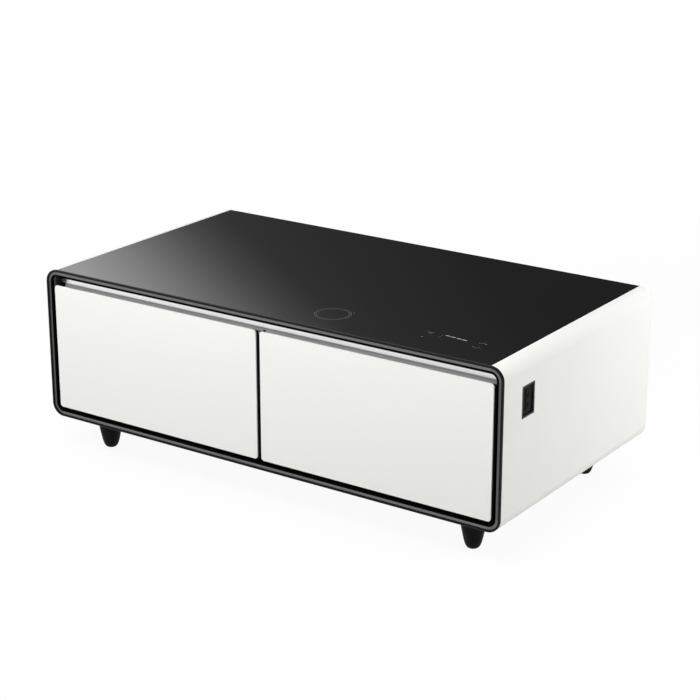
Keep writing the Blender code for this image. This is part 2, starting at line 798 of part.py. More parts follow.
def make_mullion():
    """Black bar at the cabinet's face between the two compartments."""
    back = CABINET_FACE + MULLION_DEPTH
    return prism("centre_mullion", [rectangle(*mullion_corners())], CABINET_FACE, back, "Y")


def foam_outline():
    """Section of the insulation: it fills the shells and stops at the deck and base panel."""
    facet = math.pi / 4 / SHOULDER_STEPS
    radius = SHOULDER_RADIUS - (SHEET + SEAT_GAP) / math.cos(facet)
    low = (LEFT + SHOULDER_RADIUS - radius, BODY_BOTTOM + SHOULDER_RADIUS - radius)
    high = (-low[0], BODY_TOP - SHOULDER_RADIUS + radius)
    skin = rounded_rectangle(low, high, radius, SHOULDER_STEPS)
    return kept_below(kept_below(skin, FOAM_TOP, 1), -FOAM_BOTTOM, -1)


def make_foam():
    """Foamed insulation round both compartments, with the pockets of what it holds."""
    foam = prism("insulation_foam", [foam_outline()], FOAM_FRONT, FOAM_BACK, "Y")
    before = FOAM_FRONT - CUT_OVERRUN
    for label, side in SIDES:
        room = grown(*liner_corners(side), LINER_WALL + SEAT_GAP)
        outline = rounded_rectangle(*room, LINER_CORNER_RADIUS + LINER_WALL + SEAT_GAP)
        pocket_back = LINER_OUTER_BACK + SEAT_GAP / 2
        cut(foam, prism(label + "_liner_pocket", [outline], before, pocket_back, "Y"))
        plate = rectangle(*grown(*evaporator_corners(side), SEAT_GAP))
        plate_back = EVAPORATOR_BACK + SEAT_GAP
        cut(foam, prism(label + "_plate_pocket", [plate], LINER_BACK, plate_back, "Y"))
    groove = rectangle(*grown(*mullion_corners(), SEAT_GAP))
    groove_back = CABINET_FACE + MULLION_DEPTH + SEAT_GAP
    cut(foam, prism("mullion_groove", [groove], before, groove_back, "Y"))
    cut(foam, make_link_pocket())
    cut(foam, make_suction_bore())
    cut(foam, make_rail_groove())
    coil_floor = LEDGE_TOP - COIL_THICKNESS - SEAT_GAP
    coil = circle(coil_place(), COIL_RADIUS + SEAT_GAP)
    cut(foam, prism("coil_pocket", [coil], coil_floor, FOAM_TOP + CUT_OVERRUN, "Z"))
    touch_floor = LEDGE_TOP - TOUCH_THICKNESS - SEAT_GAP
    touch = rectangle(*grown(*touch_board_corners(), SEAT_GAP))
    cut(foam, prism("touch_pocket", [touch], touch_floor, FOAM_TOP + CUT_OVERRUN, "Z"))
    cut(foam, make_port_pocket())
    return foam


def make_rail_groove():
    """Room over the front rail for the rail and the studs' tips."""
    low, high = rail_corners(FRONT + FOOT_FRONT_INSET)
    top = stud_top() + SEAT_GAP
    groove = rectangle(*grown(low, high, SEAT_GAP))
    return prism("rail_groove", [groove], FOAM_BOTTOM - CUT_OVERRUN, top, "Z")


# Evaporators
def evaporator_corners(side):
    """Corners of one evaporator plate in X and Z."""
    low, high = liner_corners(side)
    return (
        (low[0] + EVAPORATOR_SIDE_INSET, low[1] + EVAPORATOR_HEIGHT_INSET),
        (high[0] - EVAPORATOR_SIDE_INSET, high[1] - EVAPORATOR_HEIGHT_INSET),
    )


def make_evaporator(name, side):
    """Cold plate against the back of a liner."""
    outline = rectangle(*evaporator_corners(side))
    return prism(name, [outline], EVAPORATOR_FRONT, EVAPORATOR_BACK, "Y")


def link_ends():
    """X of the two facing edges of the evaporator plates."""
    return evaporator_corners(-1)[1][0], evaporator_corners(1)[0][0]


def link_height():
    """Height of the pipe between the plates."""
    return (LINER_FLOOR + LINER_CEILING) / 2


def link_y():
    """Depth of the pipe between the plates: flush with the front of the plates."""
    return EVAPORATOR_FRONT + LINK_PIPE_RADIUS


def make_link_pipe():
    """Pipe that joins the two evaporator plates."""
    first, last = link_ends()
    place = (link_y(), link_height())
    outline = circle(place, LINK_PIPE_RADIUS, TURNED_STEPS // 2)
    return prism("evaporator_link_pipe", [outline], first + SEAT_GAP, last - SEAT_GAP, "X")


def make_link_pocket():
    """Room in the insulation for the pipe between the plates."""
    first, last = link_ends()
    reach = LINK_PIPE_RADIUS + SEAT_GAP
    low = (link_y() - reach, link_height() - reach)
    high = (link_y() + reach, link_height() + reach)
    return prism("link_pocket", [rectangle(low, high)], first - SEAT_GAP, last + SEAT_GAP, "X")


# Feet and rails
def foot_places():
    """X and Y of the four feet, front ones first."""
    across = RIGHT - FOOT_SIDE_INSET
    front = FRONT + FOOT_FRONT_INSET
    rear = BACK - FOOT_REAR_INSET
    return [(-across, front), (across, front), (-across, rear), (across, rear)]


def stud_top():
    """Top of the studs, just over the rails."""
    return RAIL_TOP + FOOT_STUD_TIP


def make_foot(name, place):
    """Turned foot that narrows to a small flat pad, with the stud that holds it."""
    top = PANEL_BOTTOM - SEAT_GAP
    spread = FOOT_TOP_RADIUS - FOOT_BASE_RADIUS
    profile = [(0, stud_top()), (FOOT_STUD_RADIUS, stud_top()), (FOOT_STUD_RADIUS, top)]
    for height_share, radius_share in FOOT_HEIGHT_AND_RADIUS_SHARES:
        profile.append((FOOT_BASE_RADIUS + spread * radius_share, top * height_share))
    profile.append((0, 0))
    return turned(name, profile, (*place, 0), "Z")


def rail_corners(y):
    """Corners of a cross rail in X and Y."""
    across = RIGHT - FOOT_SIDE_INSET + RAIL_OVERHANG
    return (-across, y - RAIL_WIDTH / 2), (across, y + RAIL_WIDTH / 2)


def make_foot_rail(name, y):
    """Flat steel rail across the cabinet that two feet screw into."""
    across = RIGHT - FOOT_SIDE_INSET
    holes = [circle((side * across, y), FOOT_STUD_RADIUS + SEAT_GAP) for _, side in SIDES]
    return prism(name, [rectangle(*rail_corners(y))] + holes, RAIL_BOTTOM, RAIL_TOP, "Z")


# Compressor, fan, condenser and pipes
def shroud_x():
    """X of the fan shroud's face on the compressor's side."""
    return COMPRESSOR_X - COMPRESSOR_TO_FAN


def condenser_right():
    """X of the condenser's face towards the fan."""
    return shroud_x() - SHROUD_THICKNESS - CONDENSER_GAP


def fan_height():
    """Height of the fan's axis: the middle of the shroud."""
    return TRAY_TOP + SEAT_GAP + SHROUD_HEIGHT / 2


def boss_places():
    """X and Y of the four bosses under the compressor's plate."""
    across = COMPRESSOR_PLATE_LENGTH / 2 - BOSS_INSET
    along = COMPRESSOR_PLATE_WIDTH / 2 - BOSS_INSET
    return [(COMPRESSOR_X + sx * across, MACHINE_Y + sy * along) for sx in (-1, 1) for sy in (-1, 1)]


def make_tray():
    """Steel tray on the rear rail, with four cushioned bosses for the compressor."""
    low = (condenser_right() - CONDENSER_THICKNESS - TRAY_END, FOAM_BACK + TRAY_MARGIN)
    right = COMPRESSOR_X + COMPRESSOR_PLATE_LENGTH / 2 + TRAY_END
    high = (right, PANEL_FACE - SEAT_GAP - SHEET - TRAY_MARGIN)
    tray = prism("compressor_tray", [rectangle(low, high)], TRAY_BOTTOM, TRAY_TOP, "Z")
    bottom = TRAY_BOTTOM + TRAY_THICKNESS / 2
    for number, place in enumerate(boss_places(), 1):
        outline = circle(place, BOSS_RADIUS, TURNED_STEPS // 2)
        join(tray, prism(f"tray_boss_{number}", [outline], bottom, TRAY_TOP + BOSS_HEIGHT, "Z"))
    return tray


def compressor_bottom():
    """Underside of the compressor's mounting plate."""
    return TRAY_TOP + BOSS_HEIGHT + SEAT_GAP


def compressor_top():
    """Top of the compressor's dome."""
    return compressor_bottom() + COMPRESSOR_HEIGHT


def make_compressor():
    """Hermetic compressor: a domed shell on a mounting plate, with a terminal cover."""
    height = COMPRESSOR_HEIGHT
    dome = COMPRESSOR_DOME_RADIUS
    flat = COMPRESSOR_RADIUS - dome
    profile = [(0, height)]
    profile += [(x, z) for x, z in reversed(arc((flat, height - dome), dome, 0, 90))]
    profile += [(x, z) for x, z in reversed(arc((flat, dome), dome, 270, 360))]
    profile.append((0, 0))
    place = (COMPRESSOR_X, MACHINE_Y, compressor_bottom())
    body = turned("compressor", profile, place, "Z")
    plate_low = (COMPRESSOR_X - COMPRESSOR_PLATE_LENGTH / 2, MACHINE_Y - COMPRESSOR_PLATE_WIDTH / 2)
    plate_high = (COMPRESSOR_X + COMPRESSOR_PLATE_LENGTH / 2, MACHINE_Y + COMPRESSOR_PLATE_WIDTH / 2)
    bottom = compressor_bottom()
    plate = block(
        "compressor_plate",
        (*plate_low, bottom),
        (*plate_high, bottom + COMPRESSOR_PLATE_THICKNESS),
    )
    join(body, plate)
    half = COMPRESSOR_COVER_SIZE / 2
    middle = bottom + COMPRESSOR_HEIGHT / 2
    reach = COMPRESSOR_X + COMPRESSOR_RADIUS + half
    cover = block(
        "terminal_cover",
        (COMPRESSOR_X + flat, MACHINE_Y - half, middle - COMPRESSOR_COVER_HEIGHT / 2),
        (reach, MACHINE_Y + half, middle + COMPRESSOR_COVER_HEIGHT / 2),
    )
    join(body, cover)
    return body


def shroud_corners():
    """Corners of the fan shroud in Y and Z."""
    low = (FOAM_BACK + SHROUD_MARGIN, TRAY_TOP + SEAT_GAP)
    high = (PANEL_FACE - SEAT_GAP - SHEET - SHROUD_MARGIN, TRAY_TOP + SEAT_GAP + SHROUD_HEIGHT)
    return low, high


def make_shroud():
    """Upright plate across the machine room with the fan's round opening and a foot."""
    back = shroud_x() - SHROUD_THICKNESS
    bore = circle((MACHINE_Y, fan_height()), FAN_RADIUS + FAN_TIP_CLEARANCE)
    low, high = shroud_corners()
    shroud = prism("fan_shroud", [rectangle(low, high), bore], back, shroud_x(), "X")
    foot = block(
        "shroud_foot",
        (back + SHROUD_THICKNESS / 2, low[0] + SHROUD_MARGIN, low[1]),
        (shroud_x() + SHROUD_FOOT, high[0] - SHROUD_MARGIN, low[1] + SHROUD_THICKNESS),
    )
    join(shroud, foot)
    return shroud


def fan_centre():
    """Middle of the fan on its axis, in the plane of the shroud."""
    return Vector((shroud_x() - SHROUD_THICKNESS / 2, MACHINE_Y, fan_height()))


def make_fan_blade(number):
    """One pitched blade, from inside the hub to the fan's radius."""
    start = FAN_HUB_RADIUS / 2
    blade = block(
        f"fan_blade_{number}",
        (-FAN_BLADE_THICKNESS / 2, -FAN_BLADE_CHORD / 2, start),
        (FAN_BLADE_THICKNESS / 2, FAN_BLADE_CHORD / 2, FAN_RADIUS),
    )
    blade.location = (0, 0, (start + FAN_RADIUS) / 2)
    bpy.context.view_layer.update()
    pitch = Matrix.Rotation(math.radians(90 - FAN_BLADE_PITCH_DEGREES), 4, "Z")
    turn = Matrix.Rotation(math.tau * number / FAN_BLADES, 4, "X")
    blade.matrix_world = Matrix.Translation(fan_centre()) @ turn @ pitch @ blade.matrix_world
    return blade


def make_fan():
    """Fan wheel: a hub with a shaft bore and pitched blades."""
    half = FAN_HUB_LENGTH / 2
    bore = FAN_SHAFT_RADIUS + FAN_SHAFT_CLEARANCE
    depth = FAN_SHAFT_LENGTH
    profile = [(0, half), (FAN_HUB_RADIUS, half), (FAN_HUB_RADIUS, -half), (bore, -half)]
    profile += [(bore, depth - half), (0, depth - half)]
    hub = turned("condenser_fan", profile, fan_centre(), "X")
    for number in range(FAN_BLADES):
        join(hub, make_fan_blade(number))
    return hub


def make_fan_motor():
    """Motor behind the fan, held by arms against the shroud's face."""
    tip = FAN_SHAFT_LENGTH - FAN_MOTOR_GAP
    profile = [(0, tip), (FAN_SHAFT_RADIUS, tip), (FAN_SHAFT_RADIUS, 0)]
    profile += [(FAN_MOTOR_RADIUS, 0), (FAN_MOTOR_RADIUS, -FAN_MOTOR_LENGTH)]
    profile.append((0, -FAN_MOTOR_LENGTH))
    face = fan_centre() - Vector((FAN_HUB_LENGTH / 2 + FAN_MOTOR_GAP, 0, 0))
    motor = turned("fan_motor", profile, face, "X")
    reach = FAN_RADIUS + FAN_TIP_CLEARANCE + FAN_ARM_REACH
    shroud_back = shroud_x() - SHROUD_THICKNESS - SEAT_GAP
    arm_left = -FAN_MOTOR_GAP - FAN_ARM_THICKNESS
    toe_half = FAN_ARM_WIDTH / 2 + FAN_TOE_MARGIN
    for number in range(FAN_ARMS):
        turn = Matrix.Rotation(math.tau * number / FAN_ARMS, 4, "X")
        spoke = block(
            f"motor_spoke_{number}",
            (arm_left, -FAN_ARM_WIDTH / 2, FAN_MOTOR_RADIUS / 2),
            (-FAN_MOTOR_GAP, FAN_ARM_WIDTH / 2, reach),
        )
        toe = block(
            f"motor_toe_{number}",
            (arm_left - FAN_TOE_MARGIN, -toe_half, reach - FAN_ARM_THICKNESS),
            (shroud_back - face.x, toe_half, reach + FAN_ARM_THICKNESS),
        )
        for piece in (spoke, toe):
            bpy.context.view_layer.update()
            piece.matrix_world = Matrix.Translation(face) @ turn @ piece.matrix_world
            join(motor, piece)
    return motor


def make_condenser():
    """Finned condenser: end plates joined by flat fins, open along X for the air."""
    right = condenser_right()
    left = right - CONDENSER_THICKNESS
    low, high = shroud_corners()
    outlines = [rectangle(low, high)]
    first = low[1] + CONDENSER_CAP
    last = high[1] - CONDENSER_CAP
    pitch = (last - first + CONDENSER_FIN) / CONDENSER_FINS
    for fin in range(CONDENSER_FINS):
        bottom = first + fin * pitch
        gap_low = (low[0] + CONDENSER_END_PLATE, bottom)
        gap_high = (high[0] - CONDENSER_END_PLATE, bottom + pitch - CONDENSER_FIN)
        outlines.append(rectangle(gap_low, gap_high))
    return prism("condenser", outlines, left, right, "X")


def make_discharge_pipe():
    """Pipe from the compressor's dome over the fan to the top of the condenser."""
    start = (COMPRESSOR_X - PIPE_STUB_OFFSET, MACHINE_Y, compressor_top() + SEAT_GAP)
    top = shroud_corners()[1][1]
    rise = max(top, compressor_top()) + DISCHARGE_RISE
    end_x = condenser_right() - CONDENSER_THICKNESS / 2
    corners = [
        start,
        (start[0], MACHINE_Y, rise),
        (end_x, MACHINE_Y, rise),
        (end_x, MACHINE_Y, top + SEAT_GAP),
    ]
    return pipe("discharge_pipe", rounded_route(corners, PIPE_BEND_RADIUS), PIPE_RADIUS)


def suction_place():
    """X and height of the suction pipe's run through the insulation."""
    return COMPRESSOR_X + PIPE_STUB_OFFSET, compressor_top() + SUCTION_RISE


def make_suction_pipe():
    """Pipe from the right evaporator plate through the insulation to the compressor."""
    across, height = suction_place()
    corners = [
        (across, EVAPORATOR_BACK + SEAT_GAP, height),
        (across, MACHINE_Y, height),
        (across, MACHINE_Y, compressor_top() + SEAT_GAP),
    ]
    return pipe("suction_pipe", rounded_route(corners, PIPE_BEND_RADIUS), PIPE_RADIUS)


def make_suction_bore():
    """Bore in the insulation for the suction pipe."""
    across, height = suction_place()
    outline = circle((across, height), PIPE_RADIUS + PIPE_BORE_CLEARANCE, TURNED_STEPS // 2)
    return prism("suction_bore", [outline], EVAPORATOR_BACK, FOAM_BACK + CUT_OVERRUN, "Y")


def make_drier():
    """Filter drier standing on the tray beside the condenser."""
    half = DRIER_LENGTH / 2
    body = half - DRIER_TAPER
    profile = [(0, half), (DRIER_NECK_RADIUS, half), (DRIER_RADIUS, body)]
    profile += [(DRIER_RADIUS, -body), (DRIER_NECK_RADIUS, -half), (0, -half)]
    across = condenser_right() - CONDENSER_THICKNESS - SEAT_GAP - DRIER_RADIUS
    place = (across, MACHINE_Y, TRAY_TOP + SEAT_GAP + half)
    return turned("filter_drier", profile, place, "Z")


# Electrics
def inlet_corners():
    """Corners of the mains inlet in X and Z."""
    low = (LEFT + INLET_SIDE_INSET, BODY_BOTTOM + INLET_HEIGHT_UP)
    return low, (low[0] + INLET_WIDTH, low[1] + INLET_HEIGHT)


def make_inlet():
    """Mains inlet: a socket flush in the rear panel, with a flange behind the panel."""
    low, high = inlet_corners()
    outline = rounded_rectangle(low, high, INLET_CORNER_RADIUS)
    floor = BACK - INLET_DEPTH
    inlet = prism("power_inlet", [outline], floor - INLET_WALL, BACK, "Y")
    flange_back = PANEL_FACE - SEAT_GAP
    flange = prism(
        "inlet_flange",
        [rectangle(*grown(low, high, INLET_FLANGE))],
        flange_back - INLET_WALL,
        flange_back,
        "Y",
    )
    join(inlet, flange)
    room = rounded_rectangle(*grown(low, high, -INLET_WALL), INLET_CORNER_RADIUS / 2)
    cut(inlet, prism("inlet_room", [room], floor, BACK + CUT_OVERRUN, "Y"))
    return inlet


def control_box_corners():
    """Corners of the control box in X and Z."""
    low = (LEFT + BOX_SIDE_INSET, BODY_BOTTOM + BOX_BOTTOM_UP)
    return low, (low[0] + BOX_WIDTH, low[1] + BOX_HEIGHT)


def make_control_box():
    """Open plastic box on the back of the insulation that holds the control board."""
    low, high = control_box_corners()
    start = FOAM_BACK + SEAT_GAP
    box = prism("control_box", [rectangle(low, high)], start, start + BOX_DEPTH, "Y")
    room = rectangle(*grown(low, high, -BOX_WALL))
    inside = start + BOX_WALL
    cut(box, prism("box_room", [room], inside, start + BOX_DEPTH + CUT_OVERRUN, "Y"))
    posts = grown(low, high, -BOX_WALL - BOARD_MARGIN - BOARD_STANDOFF_RADIUS)
    for number, place in enumerate(rectangle(*posts), 1):
        outline = circle(place, BOARD_STANDOFF_RADIUS, TURNED_STEPS // 3)
        root = start + BOX_WALL / 2
        join(box, prism(f"box_post_{number}", [outline], root, inside + BOARD_STANDOFF, "Y"))
    return box


def make_control_board():
    """Control board with its relay, supply and connector blocks."""
    low, high = grown(*control_box_corners(), -BOX_WALL - BOARD_MARGIN)
    face = FOAM_BACK + SEAT_GAP + BOX_WALL + BOARD_STANDOFF + SEAT_GAP
    top = face + BOARD_THICKNESS
    board = prism("control_board", [rectangle(low, high)], face, top, "Y")
    first = (low[0] + BOARD_BLOCK_INSET, low[1] + BOARD_BLOCK_INSET)
    span = (high[0] - first[0] - BOARD_BLOCK_INSET, high[1] - first[1] - BOARD_BLOCK_INSET)
    for number, shares in enumerate(BOARD_BLOCK_SHARES, 1):
        left, bottom, right, upper, height = shares
        corner = (first[0] + span[0] * left, first[1] + span[1] * bottom)
        other = (first[0] + span[0] * right, first[1] + span[1] * upper)
        outer = top + BOARD_BLOCK_HEIGHT * height
        inner = top - BOARD_THICKNESS / 2
        join(board, prism(f"board_block_{number}", [rectangle(corner, other)], inner, outer, "Y"))
    return board


def coil_place():
    """X and Y of the charging coil."""
    return COIL_X, FRONT + COIL_FRONT_INSET


def make_coil():
    """Wireless charging coil: a ring of wire on a thin ferrite disc."""
    bottom = LEDGE_TOP - COIL_THICKNESS
    profile = [(0, COIL_THICKNESS - COIL_STEP), (COIL_CORE_RADIUS, COIL_THICKNESS - COIL_STEP)]
    profile += [(COIL_CORE_RADIUS, COIL_THICKNESS), (COIL_RADIUS, COIL_THICKNESS)]
    profile += [(COIL_RADIUS, 0), (0, 0)]
    return turned("charging_coil", profile, (*coil_place(), bottom), "Z")


def touch_board_corners():
    """Corners of the touch board in X and Y."""
    middle = FRONT + TOUCH_FRONT_INSET
    low = (TOUCH_X - TOUCH_WIDTH / 2, middle - TOUCH_DEPTH / 2)
    return low, (TOUCH_X + TOUCH_WIDTH / 2, middle + TOUCH_DEPTH / 2)


def make_touch_board():
    """Touch control board against the underside of the glass."""
    outline = rectangle(*touch_board_corners())
    return prism("touch_board", [outline], LEDGE_TOP - TOUCH_THICKNESS, LEDGE_TOP, "Z")


# Socket port in the right side panel
def port_corners(width, height):
    """Corners of a rectangle about the port's middle, in Y and Z."""
    y = FRONT + PORT_FRONT_INSET
    z = BODY_TOP - PORT_TOP_INSET
    return (y - width / 2, z - height / 2), (y + width / 2, z + height / 2)


def port_panel_corners():
    """Corners of the module's recessed face, inside the bezel's border."""
    inset = 2 * (PORT_BORDER + SEAT_GAP)
    return port_corners(PORT_WIDTH - inset, PORT_HEIGHT - inset)


def make_port_cutter():
    """Opening in the side shell for the port's bezel."""
    outline = rounded_rectangle(
        *grown(*port_corners(PORT_WIDTH, PORT_HEIGHT), SEAT_GAP), PORT_CORNER_RADIUS + SEAT_GAP
    )
    return prism("port_opening", [outline], RIGHT - SHEET - CUT_OVERRUN, RIGHT + CUT_OVERRUN, "X")


def make_port_bezel():
    """Bezel flush with the side panel, with a flange behind it."""
    outer = rounded_rectangle(*port_corners(PORT_WIDTH, PORT_HEIGHT), PORT_CORNER_RADIUS)
    flange_face = RIGHT - SHEET - SEAT_GAP
    flange_back = flange_face - PORT_FLANGE_THICKNESS
    bezel = prism("side_port_bezel", [outer], flange_back + PORT_FLANGE_THICKNESS / 2, RIGHT, "X")
    flange = rectangle(*grown(*port_corners(PORT_WIDTH, PORT_HEIGHT), PORT_FLANGE))
    join(bezel, prism("bezel_flange", [flange], flange_back, flange_face, "X"))
    window = rectangle(*grown(*port_panel_corners(), SEAT_GAP))
    cut(bezel, prism("bezel_window", [window], flange_back - CUT_OVERRUN, RIGHT + CUT_OVERRUN, "X"))
    return bezel


def make_port_module():
    """Socket module: a recessed panel with a raised column that holds two sockets."""
    face = RIGHT - PORT_RECESS
    back = face - PORT_MODULE_DEPTH
    module = prism("side_port_module", [rectangle(*port_panel_corners())], back, face, "X")
    column = rectangle(*port_corners(PORT_COLUMN_WIDTH, PORT_COLUMN_HEIGHT))
    column_face = face + PORT_COLUMN_PROUD
    join(module, prism("port_column", [column], face - PORT_COLUMN_PROUD, column_face, "X"))
    y = FRONT + PORT_FRONT_INSET
    middle = BODY_TOP - PORT_TOP_INSET
    floor = column_face - SOCKET_DEPTH
    for label, side in (("lower", -1), ("upper", 1)):
        z = middle + side * SOCKET_PITCH / 2
        low = (y - SOCKET_WIDTH / 2, z - SOCKET_LENGTH / 2)
        high = (y + SOCKET_WIDTH / 2, z + SOCKET_LENGTH / 2)
        cut(module, prism(f"{label}_socket", [rectangle(low, high)], floor, RIGHT + CUT_OVERRUN, "X"))
        low = (y + TONGUE_OFFSET - TONGUE_WIDTH / 2, z - TONGUE_LENGTH / 2)
        high = (y + TONGUE_OFFSET + TONGUE_WIDTH / 2, z + TONGUE_LENGTH / 2)
        tip = column_face - TONGUE_SETBACK
        join(module, prism(f"{label}_tongue", [rectangle(low, high)], floor - TONGUE_SETBACK, tip, "X"))
    return module


def make_port_pocket():
    """Room in the insulation for the port's flange and module."""
    reach = grown(*port_corners(PORT_WIDTH, PORT_HEIGHT), PORT_FLANGE + SEAT_GAP)
    back = RIGHT - PORT_RECESS - PORT_MODULE_DEPTH - SEAT_GAP
    return prism("port_pocket", [rectangle(*reach)], back, RIGHT + CUT_OVERRUN, "X")


# Drawers
def core_corners(side):
    """Corners of a drawer's core in X and Z."""
    outer = side * (RIGHT - FRONT_SIDE_MARGIN + CORE_REVEAL)
    inner = side * (FRONTS_GAP / 2 - CORE_REVEAL)
    return (min(outer, inner), CORE_BOTTOM), (max(outer, inner), CORE_TOP)


def core_outline(side):
    """Outline of a drawer's core."""
    return rounded_rectangle(*core_corners(side), CORE_CORNER_RADIUS)


def make_front_glass(name, side):
    """White glass front with round corners."""
    outer = side * (RIGHT - FRONT_SIDE_MARGIN)
    inner = side * FRONTS_GAP / 2
    low = (min(outer, inner), FRONT_GLASS_BOTTOM)
    high = (max(outer, inner), FRONT_GLASS_TOP)
    outline = rounded_rectangle(low, high, FRONT_CORNER_RADIUS)
    return prism(name, [outline], FRONT_GLASS_FACE, FRONT_GLASS_BACK, "Y")


def make_core(name, side):
    """Insulated core with the seat of the finger-pull channel cut out of its top."""
    core = prism(name, [core_outline(side)], CORE_FRONT, CORE_BACK, "Y")
    low, high = core_corners(side)
    seat = block(
        name + "_seat",
        (low[0] - CUT_OVERRUN, CORE_FRONT - CUT_OVERRUN, CHANNEL_FLOOR - CHANNEL_METAL - SEAT_GAP),
        (high[0] + CUT_OVERRUN, CHANNEL_BACK + CHANNEL_METAL + SEAT_GAP, high[1] + CUT_OVERRUN),
    )
    return cut(core, seat)


def channel_path():
    """Visible face of the finger-pull channel in Y and Z, from its front lip to its top."""
    lip = CORE_FRONT + CHANNEL_METAL
    path = [(lip, FRONT_GLASS_TOP - CHANNEL_LIP_DROP)]
    small = CHANNEL_LIP_FILLET
    path += arc((lip + small, CHANNEL_FLOOR + small), small, 180, 270)
    large = CHANNEL_FILLET
    path += arc((CHANNEL_BACK - large, CHANNEL_FLOOR + large), large, 270, 360, SHOULDER_STEPS)
    path.append((CHANNEL_BACK, CORE_TOP + CUT_OVERRUN))
    return path


def make_channel(name, side):
    """Bright finger-pull channel, trimmed to the core's outline."""
    low, high = core_corners(side)
    start = low[0] - CUT_OVERRUN
    end = high[0] + CUT_OVERRUN
    channel = bent_sheet(name, channel_path(), start, end, "X", CHANNEL_METAL, -1)
    trim_front = CORE_FRONT - CUT_OVERRUN
    trim_back = CORE_BACK + CUT_OVERRUN
    return keep_inside(channel, prism(name + "_trim", [core_outline(side)], trim_front, trim_back, "Y"))


def make_gasket(name, side):
    """Soft gasket round the back of a core."""
    low, high = grown(*core_corners(side), -GASKET_INSET)
    outer = rounded_rectangle(low, high, CORE_CORNER_RADIUS - GASKET_INSET)
    inner = rounded_rectangle(*grown(low, high, -GASKET_WIDTH), GASKET_INNER_RADIUS)
    return prism(name, [outer, inner], GASKET_BACK - GASKET_THICKNESS, GASKET_BACK, "Y")


def make_tub(name, side):
    """Drawer tub, open at the top, with a rim."""
    liner_low, liner_high = liner_corners(side)
    low = (liner_low[0] + TUB_SIDE_ROOM, TUB_FRONT)
    high = (liner_high[0] - TUB_SIDE_ROOM, TUB_BACK)
    rim_bottom = TUB_TOP - TUB_WALL
    outer = rounded_rectangle(low, high, TUB_CORNER_RADIUS)
    tub = prism(name, [outer], TUB_FLOOR, TUB_TOP - TUB_WALL / 2, "Z")
    rim_low = (low[0] - TUB_RIM_WIDTH, low[1])
    rim_high = (high[0] + TUB_RIM_WIDTH, high[1] + TUB_RIM_WIDTH)
    rim = rounded_rectangle(rim_low, rim_high, TUB_CORNER_RADIUS)
    join(tub, prism(name + "_rim", [rim], rim_bottom, TUB_TOP, "Z"))
    inner = rounded_rectangle(*grown(low, high, -TUB_WALL), TUB_CORNER_RADIUS - TUB_WALL)
    cut(tub, prism(name + "_room", [inner], TUB_FLOOR + TUB_WALL, TUB_TOP + CUT_OVERRUN, "Z"))
    return tub


# Telescopic slides
def channel_section(web, tip, half_height):
    """Section of a slide member: a web and two lips that point at the tip."""
    metal = SLIDE_METAL if tip > web else -SLIDE_METAL
    return [
        (tip, half_height),
        (web, half_height),
        (web, -half_height),
        (tip, -half_height),
        (tip, -half_height + SLIDE_METAL),
        (web + metal, -half_height + SLIDE_METAL),
        (web + metal, half_height - SLIDE_METAL),
        (tip, half_height - SLIDE_METAL),
    ]


def slide_sections():
    """Sections of the three members; across is measured from the liner towards the tub."""
    half = SLIDE_HEIGHT / 2
    step = SLIDE_METAL + SLIDE_RUNNING_GAP
    lip = SLIDE_THICKNESS - SLIDE_LIP_SHORTENING
    middle_tip = SLIDE_THICKNESS - SLIDE_METAL
    drawer_tip = SLIDE_WEB_STEP + SLIDE_METAL + SLIDE_RUNNING_GAP
    return {
        "cabinet": channel_section(0, lip, half),
        "middle": channel_section(SLIDE_WEB_STEP, middle_tip, half - step),
        "drawer": channel_section(SLIDE_THICKNESS, drawer_tip, half - 2 * step),
    }


def make_slide_member(name, member, wall_x, inward):
    """One slide member against a liner wall; inward is 1 where the tub lies towards +X."""
    outline = [
        (wall_x + inward * (SEAT_GAP + across), SLIDE_Z + up)
        for across, up in slide_sections()[member]
    ]
    return prism(name, [outline], SLIDE_FRONT_END, SLIDE_REAR_END, "Y")


# Assembly
def build_cabinet():
    """Makes everything that stays with the cabinet."""
    cabinet = make_empty("cabinet", (0, 0, 0))
    finish_part(make_top_glass(), "black_glass", cabinet)
    finish_part(make_top_deck(), "galvanised", cabinet)
    for label, side in SIDES:
        shell = make_side_shell(f"{label}_side_shell", side)
        if side > 0:
            cut(shell, make_port_cutter())
        finish_part(shell, "white_enamel", cabinet)
        finish_part(make_liner(f"{label}_liner", side), "grey_liner", cabinet)
        finish_part(make_evaporator(f"{label}_evaporator", side), "bright_aluminium", cabinet)
    finish_part(make_base_panel(), "galvanised", cabinet)
    finish_part(make_rear_panel(), "white_enamel", cabinet)
    finish_part(make_rear_grille(), "black_plastic", cabinet)
    finish_part(make_front_frame(), "black_lacquer", cabinet)
    finish_part(make_mullion(), "black_plastic", cabinet)
    finish_part(make_foam(), "yellow_foam", cabinet)
    finish_part(make_link_pipe(), "copper", cabinet)
    build_feet(cabinet)
    build_machine_room(cabinet)
    build_electrics(cabinet)
    return cabinet


def build_feet(cabinet):
    """Makes the four feet and their two rails."""
    finish_part(make_foot_rail("front_foot_rail", FRONT + FOOT_FRONT_INSET), "galvanised", cabinet)
    finish_part(make_foot_rail("rear_foot_rail", BACK - FOOT_REAR_INSET), "galvanised", cabinet)
    names = ("front_left_foot", "front_right_foot", "rear_left_foot", "rear_right_foot")
    for name, place in zip(names, foot_places()):
        finish_part(make_foot(name, place), "black_lacquer", cabinet)


